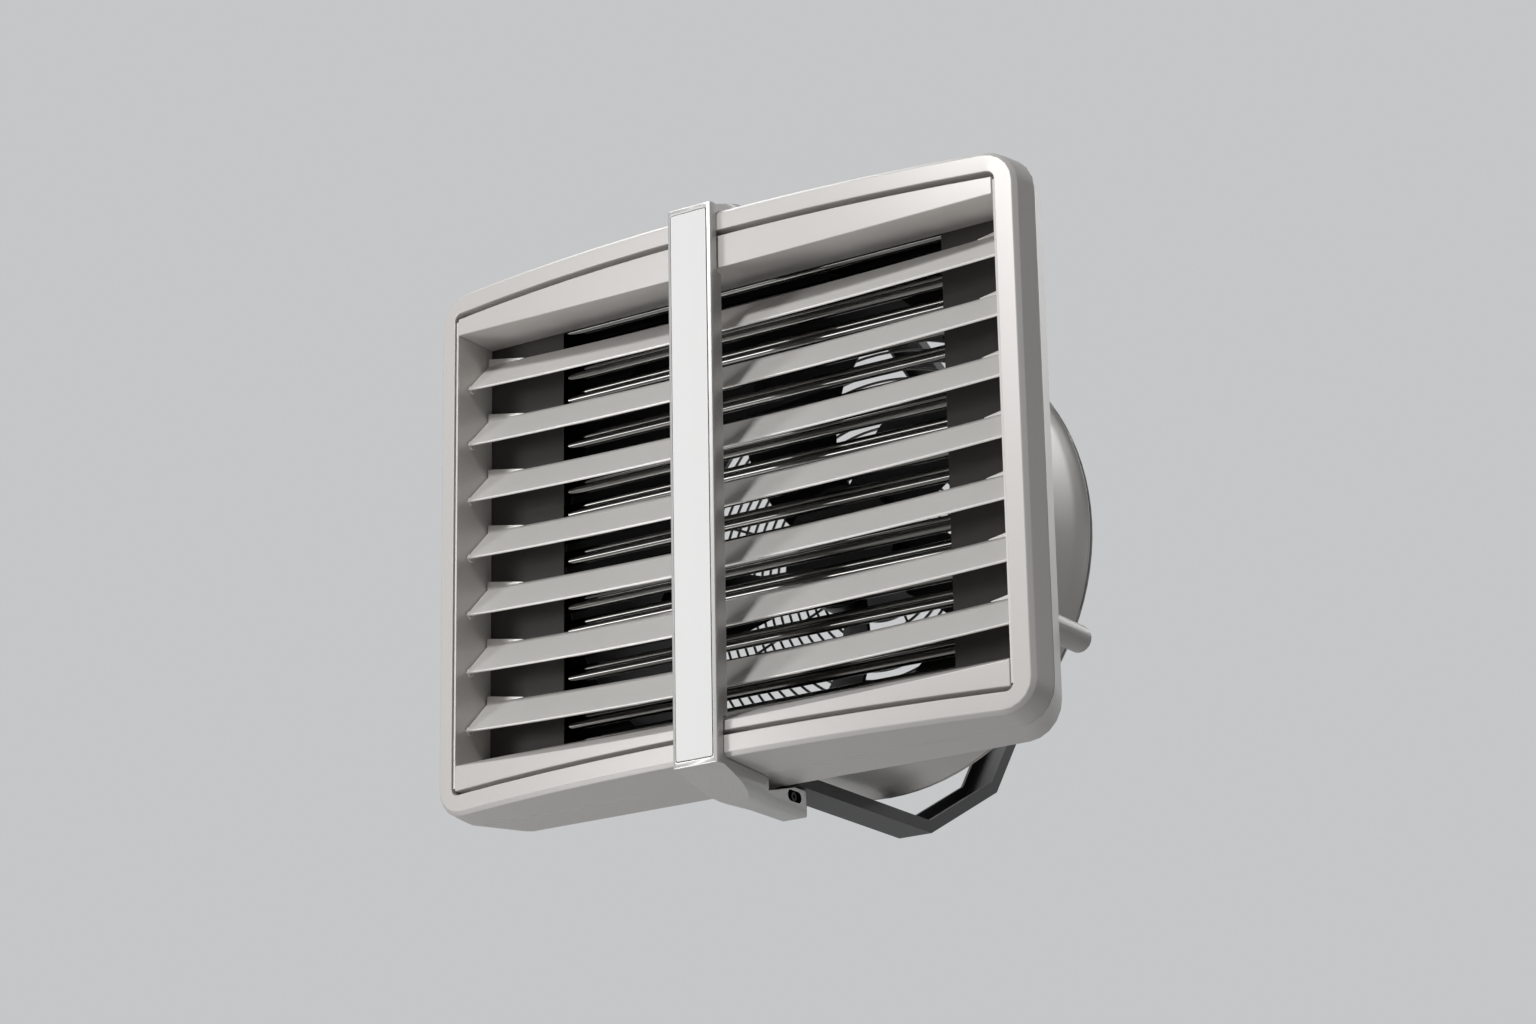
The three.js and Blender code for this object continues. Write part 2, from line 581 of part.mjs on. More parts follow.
// One louver about its own pivot: a bowed blade with a boss and a pin at each end.
function buildLouver() {
  const halfLength = DUCT_HALF_WIDTH - LOUVER_END_CLEARANCE;
  const point = (along, below) =>
    new THREE.Vector2()
      .addScaledVector(LOUVER_ALONG, along - LOUVER_PIVOT_ALONG)
      .addScaledVector(LOUVER_BELOW, below - LOUVER_PIVOT_BELOW);
  const rings = [];
  for (let i = 0; i <= LOUVER_SLICES; i++) {
    const x = halfLength * ((2 * i) / LOUVER_SLICES - 1);
    const front = -LOUVER_BOW * (1 - (x / halfLength) ** 2);
    const section = [
      point(front, LOUVER_THICKNESS / 2),
      point(front + LOUVER_THICKNESS / 2, 0),
      point(front + LOUVER_CHORD, 0),
      point(front + LOUVER_CHORD, LOUVER_THICKNESS),
      point(front + LOUVER_THICKNESS / 2, LOUVER_THICKNESS),
    ];
    rings.push(section.map((p) => new THREE.Vector3(x, p.x, p.y)));
  }
  const additions = [];
  for (const side of [-1, 1]) {
    const bossInner = side * (halfLength - LOUVER_BOSS_LENGTH);
    const bossOuter = side * halfLength;
    const pinEnd = side * (DUCT_HALF_WIDTH + LOUVER_PIN_REACH);
    const bossSpan = [bossInner, bossOuter].sort((a, b) => a - b);
    const pinSpan = [bossInner, pinEnd].sort((a, b) => a - b);
    additions.push(rodAlongX(LOUVER_BOSS_R, ...bossSpan, 0, 0, 14));
    additions.push(rodAlongX(LOUVER_PIN_R, ...pinSpan, 0, 0, 10));
  }
  return join(skin(rings), ...additions);
}

// ---------------------------------------------------------------- heat exchanger

function rowHeights(count) {
  return Array.from({ length: count }, (_, i) => (i - (count - 1) / 2) * TUBE_PITCH);
}

// Two staggered rows of tubes, brazed into an end plate at each side.
function buildTubeBundle() {
  const plateHalfHeight = ((FRONT_ROW_TUBES - 1) / 2) * TUBE_PITCH + TUBE_R + END_PLATE_MARGIN;
  const plates = [-1, 1].map((side) =>
    boxBetween(
      new THREE.Vector3(
        side * END_PLATE_X - END_PLATE_THICKNESS / 2,
        MASK_Y + MASK_THICKNESS + GAP,
        -plateHalfHeight,
      ),
      new THREE.Vector3(side * END_PLATE_X + END_PLATE_THICKNESS / 2, REAR_ROW_Y + TUBE_R + 1, plateHalfHeight),
    ),
  );
  const rows = [
    [FRONT_ROW_Y, rowHeights(FRONT_ROW_TUBES)],
    [REAR_ROW_Y, rowHeights(FRONT_ROW_TUBES - 1)],
  ];
  const tubes = rows.flatMap(([y, heights]) =>
    heights.map((z) => rodAlongX(TUBE_R, -END_PLATE_X, END_PLATE_X, y, z, 8)),
  );
  return join(plates[0], plates[1], ...tubes);
}

const buildHeader = (side) =>
  rodAlongZ(HEADER_R, -HEADER_HALF_LENGTH, HEADER_HALF_LENGTH, side * HEADER_X, HEADER_Y, 14);

// A pipe stub, saddled onto its header.
function buildPipeStub(side) {
  const x = side * HEADER_X;
  const pipe = rodAlongY(STUB_R, HEADER_Y, STUB_END_Y, x, STUB_Z, 20);
  const bore = rodAlongY(STUB_BORE_R, HEADER_Y, STUB_END_Y + 1, x, STUB_Z, 16);
  const saddle = rodAlongZ(HEADER_R + GAP, STUB_Z - 2 * STUB_R, STUB_Z + 2 * STUB_R, x, HEADER_Y, 28);
  return cut(pipe, bore, saddle);
}

function buildGrommet(side) {
  const x = side * HEADER_X;
  const y = REAR_FACE_Y + GAP;
  return cut(
    rodAlongY(GROMMET_R, y, y + GROMMET_THICKNESS, x, STUB_Z, 24),
    rodAlongY(STUB_R + GAP, y - 1, y + GROMMET_THICKNESS + 1, x, STUB_Z, 20),
  );
}

// ---------------------------------------------------------------- fan, motor and guard

// One blade from the hub to the tip, as sections that lie on cylinders round the fan's axis.
function buildBlade(index) {
  const stations = 5;
  const rootR = HUB_R - 2;
  const middleY = (HUB_FRONT_Y + HUB_REAR_Y) / 2;
  const rings = [];
  for (let i = 0; i <= stations; i++) {
    const share = i / stations;
    const radius = THREE.MathUtils.lerp(rootR, FAN_TIP_R, share);
    const chord = THREE.MathUtils.lerp(BLADE_CHORD_ROOT, BLADE_CHORD_TIP, share);
    const pitch = THREE.MathUtils.lerp(BLADE_PITCH_ROOT, BLADE_PITCH_TIP, share);
    const turn = FAN_TURN + (index / FAN_BLADES) * 2 * Math.PI + BLADE_SWEEP * share ** 2;
    const section = [];
    for (const [along, across] of [[-0.5, -0.5], [0.5, -0.5], [0.5, 0.5], [-0.5, 0.5]]) {
      const tangent = along * chord * Math.cos(pitch) - across * BLADE_THICKNESS * Math.sin(pitch);
      const axial = along * chord * Math.sin(pitch) + across * BLADE_THICKNESS * Math.cos(pitch);
      const angle = turn + tangent / radius;
      section.push(new THREE.Vector3(radius * Math.sin(angle), middleY + axial, radius * Math.cos(angle)));
    }
    rings.push(section);
  }
  return skin(rings);
}

function buildImpeller() {
  const cup = cut(
    rodAlongY(HUB_R, HUB_FRONT_Y, HUB_REAR_Y, 0, 0, 32),
    rodAlongY(ROTOR_R + GAP, HUB_FRONT_Y + HUB_CAP, HUB_REAR_Y + 1, 0, 0, 32),
  );
  const blades = Array.from({ length: FAN_BLADES }, (_, i) => {
    const room = rodAlongY(ROTOR_R + GAP + 1, HUB_FRONT_Y - 60, HUB_REAR_Y + 60, 0, 0, 32);
    return cut(buildBlade(i), room);
  });
  return join(cup, ...blades);
}

function buildRotorCan() {
  const front = HUB_FRONT_Y + HUB_CAP + GAP;
  return cut(
    rodAlongY(ROTOR_R, front, ROTOR_REAR_Y, 0, 0, 32),
    rodAlongY(SHAFT_R + GAP, SHAFT_FRONT_Y - GAP, ROTOR_REAR_Y + 1, 0, 0, 12),
  );
}

function buildStator() {
  return cut(
    rodAlongY(STATOR_R, ROTOR_REAR_Y + MOTOR_AIR_GAP, GUARD_Y - GAP, 0, 0, 32),
    rodAlongY(SHAFT_R + GAP, ROTOR_REAR_Y, GUARD_Y + 1, 0, 0, 12),
  );
}

const buildShaft = () => rodAlongY(SHAFT_R, SHAFT_FRONT_Y, GUARD_Y - 2 * GAP, 0, 0, 12);

function wireRing(outerR) {
  const [inner, front, back] = [outerR - GUARD_WIRE, GUARD_Y, GUARD_Y + GUARD_WIRE];
  const profile = [
    new THREE.Vector2(inner, front),
    new THREE.Vector2(outerR, front),
    new THREE.Vector2(outerR, back),
    new THREE.Vector2(inner, back),
    new THREE.Vector2(inner, front),
  ];
  return new THREE.LatheGeometry(profile, 28);
}

// Wire rings and spokes on feet behind the bell's rim, with a plate in the middle that carries the motor.
function buildGuard() {
  const plate = rodAlongY(GUARD_PLATE_R, GUARD_Y, GUARD_Y + GUARD_WIRE, 0, 0, 28);
  const wires = [];
  for (let i = 1; i <= GUARD_RINGS; i++) {
    wires.push(wireRing(THREE.MathUtils.lerp(GUARD_PLATE_R, BELL_RIM_R, i / GUARD_RINGS)));
  }
  const spokeInner = GUARD_PLATE_R - GUARD_WIRE;
  const spokeOuter = BELL_RIM_R - GUARD_WIRE / 2;
  const footFront = BELL_RIM_Y + GAP;
  for (let i = 0; i < GUARD_SPOKES; i++) {
    const spoke = boxBetween(
      new THREE.Vector3(spokeInner, GUARD_Y, -GUARD_WIRE / 2),
      new THREE.Vector3(spokeOuter, GUARD_Y + GUARD_WIRE, GUARD_WIRE / 2),
    );
    const foot = boxBetween(
      new THREE.Vector3(BELL_RIM_R - BELL_WALL, footFront, -GUARD_FOOT_WIDTH / 2),
      new THREE.Vector3(BELL_RIM_R - 0.5, GUARD_Y + GUARD_WIRE / 2, GUARD_FOOT_WIDTH / 2),
    );
    const angle = ((i + 0.5) / GUARD_SPOKES) * 2 * Math.PI;
    wires.push(spoke.rotateY(angle), foot.rotateY(angle));
  }
  return join(plate, ...wires);
}

// ---------------------------------------------------------------- centre band and swivel joint

// The band seen from the side: a bar across the front that wraps round the frame at the top and the
// bottom and runs on as a lug. The upper half mirrors the lower half but for the rib's end.
function bandSideOutline() {
  const seat = BAND_SEAT_GAP;
  const slotShare = (LUG_SLOT_Y - SEAM_Y) / (REAR_EDGE_Y - SEAM_Y);
  const endY = SWIVEL_Y + LUG_HALF_WIDTH;
  const roundEnd = [0, 1, 2, 3].map((i) => {
    const angle = (i / 3) * (Math.PI / 2);
    const y = endY - LUG_END_R * (1 - Math.sin(angle));
    return new THREE.Vector2(y, LUG_OUTER_Z - LUG_END_R * (1 - Math.cos(angle)));
  });
  const half = (ribEndZ) => [
    new THREE.Vector2(-BAND_PROUD, BAND_HALF_HEIGHT - 1),
    new THREE.Vector2(-BAND_PROUD + 1, BAND_HALF_HEIGHT),
    new THREE.Vector2(0, BAND_HALF_HEIGHT),
    new THREE.Vector2(LUG_RAMP_END_Y, LUG_OUTER_Z),
    ...roundEnd,
    new THREE.Vector2(endY, LUG_INNER_Z),
    new THREE.Vector2(LUG_SEAT_Y, LUG_INNER_Z),
    new THREE.Vector2(LUG_SLOT_Y, LUG_INNER_Z + LUG_SLOT_DEPTH),
    new THREE.Vector2(LUG_SLOT_Y, SEAM_HALF_HEIGHT - REAR_TOP_TAPER * slotShare + seat),
    new THREE.Vector2(SEAM_Y, SEAM_HALF_HEIGHT + seat),
    new THREE.Vector2(CHAMFER, EDGE_HALF_HEIGHT + seat),
    new THREE.Vector2(-seat, FACE_HALF_HEIGHT + seat / 2),
    new THREE.Vector2(-seat, ribEndZ),
    new THREE.Vector2(BAND_RIB_Y, ribEndZ),
  ];
  const lower = half(-BAND_RIB_BOTTOM_Z).map((p) => new THREE.Vector2(p.x, -p.y));
  return [...lower, ...half(BAND_RIB_TOP_Z).reverse()];
}

// The band seen from above: rounded edges in front and a lug that ends round the swivel's axis.
function bandPlanOutline() {
  const steps = 14;
  const r = BAND_EDGE_R;
  const outline = [
    new THREE.Vector2(-BAND_HALF_WIDTH, -BAND_PROUD + r),
    new THREE.Vector2(-BAND_HALF_WIDTH + 0.3 * r, -BAND_PROUD + 0.3 * r),
    new THREE.Vector2(-BAND_HALF_WIDTH + r, -BAND_PROUD),
    new THREE.Vector2(BAND_HALF_WIDTH - r, -BAND_PROUD),
    new THREE.Vector2(BAND_HALF_WIDTH - 0.3 * r, -BAND_PROUD + 0.3 * r),
    new THREE.Vector2(BAND_HALF_WIDTH, -BAND_PROUD + r),
    new THREE.Vector2(BAND_HALF_WIDTH, SEAM_Y),
    new THREE.Vector2(LUG_HALF_WIDTH, LUG_TAPER_END_Y),
  ];
  for (let i = 0; i <= steps; i++) {
    const angle = (i / steps) * Math.PI;
    outline.push(
      new THREE.Vector2(LUG_HALF_WIDTH * Math.cos(angle), SWIVEL_Y + LUG_HALF_WIDTH * Math.sin(angle)),
    );
  }
  outline.push(new THREE.Vector2(-LUG_HALF_WIDTH, LUG_TAPER_END_Y));
  outline.push(new THREE.Vector2(-BAND_HALF_WIDTH, SEAM_Y));
  return outline;
}

// The band seen from behind, with its lower and upper edges rounded over all its depth.
function bandRearShape() {
  const shape = (halfWidth, radius, y) => ringAt(roundedRectangle(halfWidth, LUG_OUTER_Z, radius, 4, 1), y);
  return skin([
    shape(BAND_HALF_WIDTH, BAND_LOWER_EDGE_R, -BAND_PROUD - 1),
    shape(BAND_HALF_WIDTH, BAND_LOWER_EDGE_R, SEAM_Y),
    shape(LUG_HALF_WIDTH, LUG_EDGE_R, LUG_TAPER_END_Y),
    shape(LUG_HALF_WIDTH, LUG_EDGE_R, SWIVEL_Y + LUG_HALF_WIDTH + 1),
  ]);
}

// A screw that points inwards from the lug's right side, or the bore it stands in.
function lockScrew(side, headR, headLength, shankR, shankLength) {
  const z = side * LOCK_SCREW_Z;
  const headInner = LUG_HALF_WIDTH - headLength;
  const head = rodAlongX(headR, headInner, LUG_HALF_WIDTH, LOCK_SCREW_Y, z, 18);
  const shank = rodAlongX(shankR, headInner - shankLength, headInner + 1, LOCK_SCREW_Y, z, 10);
  return join(head, shank);
}

// The oblong recess round the screw's head, with the screw's bore in its floor.
function lockRecess(side) {
  const z = side * LOCK_SCREW_Z;
  const radius = LOCK_SCREW_HEAD_R + LOCK_RECESS_CLEARANCE;
  const floor = LUG_HALF_WIDTH - LOCK_RECESS_DEPTH;
  const [front, back] = [-1, 1].map((end) => LOCK_SCREW_Y + (end * LOCK_RECESS_RUN) / 2);
  return join(
    boxBetween(
      new THREE.Vector3(floor, front, z - radius),
      new THREE.Vector3(LUG_HALF_WIDTH + 1, back, z + radius),
    ),
    rodAlongX(radius, floor, LUG_HALF_WIDTH + 1, front, z, 24),
    rodAlongX(radius, floor, LUG_HALF_WIDTH + 1, back, z, 24),
    lockScrew(side, radius, LOCK_RECESS_DEPTH, LOCK_SCREW_R + GAP, LOCK_SCREW_LENGTH),
  );
}

function buildCentreBand() {
  const side = prismAlongX(bandSideOutline(), -BAND_HALF_WIDTH, BAND_HALF_WIDTH);
  const plan = prismAlongZ(bandPlanOutline(), -LUG_OUTER_Z - 1, LUG_OUTER_Z + 1);
  const coverRecess = prismAlongY(
    roundedRectangle(
      BAND_HALF_WIDTH - COVER_MARGIN,
      BAND_HALF_HEIGHT - COVER_MARGIN - 1,
      COVER_CORNER_R + 2 * GAP,
      3,
      1,
    ),
    -BAND_PROUD - 1,
    -BAND_PROUD + COVER_THICKNESS - COVER_PROUD + GAP,
  );
  const openings = [coverRecess];
  for (const lug of [-1, 1]) {
    const boltSpan = mirrored(lug, -LUG_OUTER_Z + BOLT_FLOOR - GAP, -LUG_INNER_Z + 1);
    openings.push(rodAlongZ(BOLT_R + PIN_CLEARANCE, ...boltSpan, 0, SWIVEL_Y, 14));
    openings.push(lockRecess(lug));
  }
  return cut(overlap(side, plan, bandRearShape()), ...openings);
}

function buildLockScrew(side) {
  const solid = lockScrew(side, LOCK_SCREW_HEAD_R, LOCK_SCREW_HEAD_LENGTH, LOCK_SCREW_R, LOCK_SCREW_LENGTH);
  const socketStart = LUG_HALF_WIDTH - LOCK_SCREW_HEAD_LENGTH / 2;
  const z = side * LOCK_SCREW_Z;
  const socket = rodAlongX(LOCK_SCREW_R, socketStart, LUG_HALF_WIDTH + 1, LOCK_SCREW_Y, z, 6);
  return cut(solid, socket).translate(-(LOCK_RECESS_DEPTH - LOCK_SCREW_HEAD_LENGTH - GAP), 0, 0);
}

function buildCoverPlate() {
  const halfWidth = BAND_HALF_WIDTH - COVER_MARGIN - GAP;
  const halfHeight = BAND_HALF_HEIGHT - COVER_MARGIN - 1 - GAP;
  const frontY = -BAND_PROUD - COVER_PROUD;
  return prismAlongY(
    roundedRectangle(halfWidth, halfHeight, COVER_CORNER_R, 3, 1),
    frontY,
    frontY + COVER_THICKNESS,
  );
}

// A span of z given for the lower lug, or the same span mirrored for the upper lug.
function mirrored(side, zLow, zHigh) {
  return side < 0 ? [zLow, zHigh] : [-zHigh, -zLow];
}

// The bolt stands in the lug's plate. Its head and the washer lie inside the console's arm.
function buildSwivelBolt(side) {
  const headLow = -CONSOLE_ARM_Z + CONSOLE_STEEL + 2 * GAP + WASHER_THICKNESS;
  const headHigh = headLow + BOLT_HEAD_HEIGHT;
  const shankSpan = mirrored(side, -LUG_OUTER_Z + BOLT_FLOOR, headLow + 1);
  const socketSpan = mirrored(side, headHigh - BOLT_SOCKET_DEPTH, headHigh + 1);
  return cut(
    join(
      rodAlongZ(BOLT_HEAD_R, ...mirrored(side, headLow, headHigh), 0, SWIVEL_Y, 16),
      rodAlongZ(BOLT_R, ...shankSpan, 0, SWIVEL_Y, 14),
    ),
    rodAlongZ(BOLT_R, ...socketSpan, 0, SWIVEL_Y, 6),
  );
}

function ringOnSwivel(outerR, span, sides) {
  return cut(
    rodAlongZ(outerR, ...span, 0, SWIVEL_Y, sides),
    rodAlongZ(BOLT_R + PIN_CLEARANCE, span[0] - 1, span[1] + 1, 0, SWIVEL_Y, 14),
  );
}

function buildSwivelWasher(side) {
  const low = -CONSOLE_ARM_Z + CONSOLE_STEEL + GAP;
  return ringOnSwivel(WASHER_R, mirrored(side, low, low + WASHER_THICKNESS), 20);
}

function buildSwivelSpacer(side) {
  return ringOnSwivel(SPACER_R, mirrored(side, -LUG_INNER_Z + GAP, -CONSOLE_ARM_Z - GAP), 24);
}

// ---------------------------------------------------------------- console

// The path of the console's outer face in the upper half, from the swivel to the wall plate.
function consolePath(offset) {
  const path = [
    new THREE.Vector2(SWIVEL_Y, CONSOLE_ARM_Z),
    new THREE.Vector2(CONSOLE_BEND_1_Y, CONSOLE_ARM_Z),
    new THREE.Vector2(CONSOLE_BEND_2_Y, CONSOLE_ARM_Z - CONSOLE_BEND_2_DROP),
    new THREE.Vector2(WALL_FACE_Y, CONSOLE_ARM_Z - CONSOLE_BEND_3_DROP),
    new THREE.Vector2(WALL_FACE_Y, 0),
  ];
  const normals = path.slice(1).map((p, i) => {
    const along = new THREE.Vector2().subVectors(p, path[i]).normalize();
    return new THREE.Vector2(along.y, -along.x);
  });
  return path.map((p, i) => {
    const before = normals[Math.max(i - 1, 0)];
    const after = normals[Math.min(i, normals.length - 1)];
    const mitre = new THREE.Vector2().addVectors(before, after).normalize();
    return p.clone().addScaledVector(mitre, offset / mitre.dot(before));
  });
}

// The strip between two offsets from the outer face, over both halves, as an outline in y and z.
function consoleStrip(outerOffset, innerOffset) {
  const half = (offset) => consolePath(offset).slice(0, -1);
  const whole = (offset) => {
    const upper = half(offset);
    const lower = upper.map((p) => new THREE.Vector2(p.x, -p.y)).reverse();
    return [...upper, ...lower];
  };
  return [...whole(outerOffset), ...whole(innerOffset).reverse()];
}

// The round end of an arm, with the flange running on round it.
function consoleEnd(side) {
  const half = CONSOLE_HALF_WIDTH;
  const span = mirrored(side, -CONSOLE_ARM_Z, -CONSOLE_ARM_Z + CONSOLE_FLANGE);
  const hollow = mirrored(side, -CONSOLE_ARM_Z + CONSOLE_STEEL, -CONSOLE_ARM_Z + CONSOLE_FLANGE + 1);
  const behind = boxBetween(
    new THREE.Vector3(-half, SWIVEL_Y, hollow[0]),
    new THREE.Vector3(half, SWIVEL_Y + half + 1, hollow[1]),
  );
  return cut(
    rodAlongZ(half, ...span, 0, SWIVEL_Y, 32),
    rodAlongZ(half - CONSOLE_STEEL, ...hollow, 0, SWIVEL_Y, 32),
    behind,
  );
}

function buildConsole() {
  const half = CONSOLE_HALF_WIDTH;
  const web = prismAlongX(consoleStrip(0, CONSOLE_STEEL), -half, half);
  const flanges = [-1, 1].map((side) => {
    const inner = side * (half - CONSOLE_STEEL);
    const outer = side * half;
    const strip = consoleStrip(0, CONSOLE_FLANGE);
    return prismAlongX(strip, Math.min(inner, outer), Math.max(inner, outer));
  });
  const drills = [
    rodAlongZ(BOLT_R + PIN_CLEARANCE, -CONSOLE_ARM_Z - 5, CONSOLE_ARM_Z + 5, 0, SWIVEL_Y, 14),
    rodAlongY(WALL_HOLE_R, WALL_FACE_Y - 10, WALL_FACE_Y + 5, 0, WALL_HOLE_Z, 16),
    rodAlongY(WALL_HOLE_R, WALL_FACE_Y - 10, WALL_FACE_Y + 5, 0, -WALL_HOLE_Z, 16),
  ];
  return cut(join(web, ...flanges, consoleEnd(-1), consoleEnd(1)), ...drills);
}

// ---------------------------------------------------------------- small parts on the rear face

function buildCaseScrew(signX, signZ) {
  const x = signX * (REAR_FACE_HALF_WIDTH - SCREW_INSET);
  const z = signZ * (REAR_FACE_HALF_HEIGHT - SCREW_INSET);
  const y = REAR_FACE_Y + GAP;
  const head = rodAlongY(SCREW_HEAD_R, y, y + SCREW_HEAD_HEIGHT, x, z, 14);
  const socket = rodAlongY(SCREW_HEAD_R / 2, y + SCREW_HEAD_HEIGHT / 2, y + SCREW_HEAD_HEIGHT + 1, x, z, 6);
  return cut(head, socket);
}

function terminalBoxCentre() {
  return new THREE.Vector3(
    -(REAR_FACE_HALF_WIDTH - TERMINAL_BOX_EDGE_GAP - TERMINAL_BOX.x / 2),
    REAR_FACE_Y + GAP + TERMINAL_BOX.y / 2,
    TERMINAL_BOX_Z,
  );
}

function buildTerminalBox() {
  const c = terminalBoxCentre();
  return new THREE.BoxGeometry(TERMINAL_BOX.x, TERMINAL_BOX.y, TERMINAL_BOX.z).translate(c.x, c.y, c.z);
}

function buildTerminalLid() {
  const c = terminalBoxCentre();
  const y = c.y + TERMINAL_BOX.y / 2 + GAP;
  const outline = roundedRectangle(
    TERMINAL_BOX.x / 2 + TERMINAL_LID_MARGIN,
    TERMINAL_BOX.z / 2 + TERMINAL_LID_MARGIN,
    4,
    3,
    1,
  ).map((p) => new THREE.Vector2(p.x + c.x, p.y + c.z));
  return prismAlongY(outline, y, y + TERMINAL_LID);
}

function buildCableGland() {
  const c = terminalBoxCentre();
  const top = c.z - TERMINAL_BOX.z / 2 - GAP;
  return cut(
    rodAlongZ(GLAND_R, top - GLAND_LENGTH, top, c.x, c.y, 6),
    rodAlongZ(GLAND_BORE_R, top - GLAND_LENGTH - 1, top - GLAND_LENGTH / 2, c.x, c.y, 10),
  );
}

// ---------------------------------------------------------------- assembly

function buildHeater() {
  const heater = new THREE.Group();
  heater.add(
    piece("front_frame", buildFrontFrame(), casingFinish()),
    piece("rear_casing", buildRearCasing(), casingFinish()),
    piece("fan_bell", buildFanBell(), casingFinish()),
    piece("duct_wall_left", buildDuctWall(-1), casingFinish()),
    piece("duct_wall_right", buildDuctWall(1), casingFinish()),
    piece(
      "deflector_top",
      buildDeflector(PANEL_OUTER_Z, TOP_PANEL_EDGE_Z, TOP_PANEL_EDGE_Z),
      casingFinish(),
    ),
    piece(
      "deflector_bottom",
      buildDeflector(-PANEL_OUTER_Z, BOTTOM_PANEL_EDGE_Z, BOTTOM_PANEL_BACK_Z),
      casingFinish(),
    ),
    piece("exchanger_mask", buildMask(), ductFinish()),
    piece("tube_bundle", buildTubeBundle(), tubeFinish()),
    piece("impeller", buildImpeller(), fanFinish()),
    piece("motor_rotor", buildRotorCan(), motorFinish()),
    piece("motor_shaft", buildShaft(), zincFinish()),
    piece("motor_stator", buildStator(), motorFinish()),
    piece("fan_guard", buildGuard(), guardFinish()),
    piece("centre_band", buildCentreBand(), bandFinish()),
    piece("band_cover", buildCoverPlate(), coverFinish()),
    piece("terminal_box", buildTerminalBox(), ductFinish()),
    piece("terminal_box_lid", buildTerminalLid(), ductFinish()),
    piece("cable_gland", buildCableGland(), fanFinish()),
  );
  for (let i = 0; i < LOUVER_COUNT; i++) {
    const louver = piece(`louver_${i + 1}`, buildLouver(), casingFinish());
    louver.position.set(0, LOUVER_PIVOT.x, louverPivotZ(i));
    heater.add(louver);
  }
  for (const [side, label, stub] of [[-1, "left", "water_outlet"], [1, "right", "water_inlet"]]) {
    heater.add(piece(`header_${label}`, buildHeader(side), headerFinish()));
    heater.add(piece(stub, buildPipeStub(side), pipeFinish()));
    heater.add(piece(`grommet_${label}`, buildGrommet(side), fanFinish()));
  }
  for (const [side, label] of [[-1, "lower"], [1, "upper"]]) {
    heater.add(piece(`swivel_bolt_${label}`, buildSwivelBolt(side), boltFinish()));
    heater.add(piece(`swivel_washer_${label}`, buildSwivelWasher(side), zincFinish()));
    heater.add(piece(`swivel_spacer_${label}`, buildSwivelSpacer(side), zincFinish()));
    heater.add(piece(`lock_screw_${label}`, buildLockScrew(side), boltFinish()));
  }
  const corners = [[1, 1], [-1, 1], [-1, -1], [1, -1]];
  corners.forEach(([signX, signZ], i) => {
    heater.add(piece(`case_screw_${i + 1}`, buildCaseScrew(signX, signZ), zincFinish()));
  });
  return heater;
}

const fanHeater = new THREE.Group();
fanHeater.position.y = -WALL_FACE_Y;
fanHeater.add(buildHeater());
fanHeater.add(piece("console", buildConsole(), consoleFinish()));

export default fanHeater;
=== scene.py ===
"""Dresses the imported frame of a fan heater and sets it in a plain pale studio."""

import logging
import math
from collections.abc import Callable, Iterable
from dataclasses import dataclass
from enum import Enum

import bmesh
import bpy
from mathutils import Matrix, Vector

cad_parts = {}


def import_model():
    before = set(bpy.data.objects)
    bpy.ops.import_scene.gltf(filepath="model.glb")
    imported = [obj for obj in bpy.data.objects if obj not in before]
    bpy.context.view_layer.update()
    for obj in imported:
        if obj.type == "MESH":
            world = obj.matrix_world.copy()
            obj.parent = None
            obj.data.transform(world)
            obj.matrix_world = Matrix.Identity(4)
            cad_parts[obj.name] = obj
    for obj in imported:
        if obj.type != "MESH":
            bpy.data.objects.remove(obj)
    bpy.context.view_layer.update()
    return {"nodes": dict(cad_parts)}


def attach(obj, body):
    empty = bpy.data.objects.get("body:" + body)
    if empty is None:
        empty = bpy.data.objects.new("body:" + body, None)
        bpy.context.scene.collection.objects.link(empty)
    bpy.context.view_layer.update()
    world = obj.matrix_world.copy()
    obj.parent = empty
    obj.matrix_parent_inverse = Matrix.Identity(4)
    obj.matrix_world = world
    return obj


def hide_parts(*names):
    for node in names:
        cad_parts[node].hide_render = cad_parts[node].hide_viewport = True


log = logging.getLogger("fan_heater")

MM = 0.001
WALL_Y = 600.0  # from the heater's foremost point back to the console's wall face
ON_PLANE = 1e-5
FULL_TURN = 2 * math.pi
TURNED_AWAY = -0.5  # a face whose normal goes less than this along a direction points against it
LEANS_AWAY = -0.3
Test = Callable[[Vector], bool]
FaceTest = Callable[[Vector, Vector], bool]


class Axis(Enum):
    """Two of the row frame's axes, each with the turn that takes +Z to it."""

    X = (0.0, math.pi / 2, 0.0)
    Y = (-math.pi / 2, 0.0, 0.0)


class Side(Enum):
    """The heater's left and right, as a sign along X."""

    LEFT = -1
    RIGHT = 1


def at(x: float, y: float, z: float) -> Vector:
    """A point in the row frame.

    Args:
        x: Millimetres to the right.
        y: Millimetres behind the foremost point of the heater's face.
        z: Millimetres above the middle.

    Returns:
        The point in metres.
    """
    return Vector((x, y - WALL_Y, z)) * MM


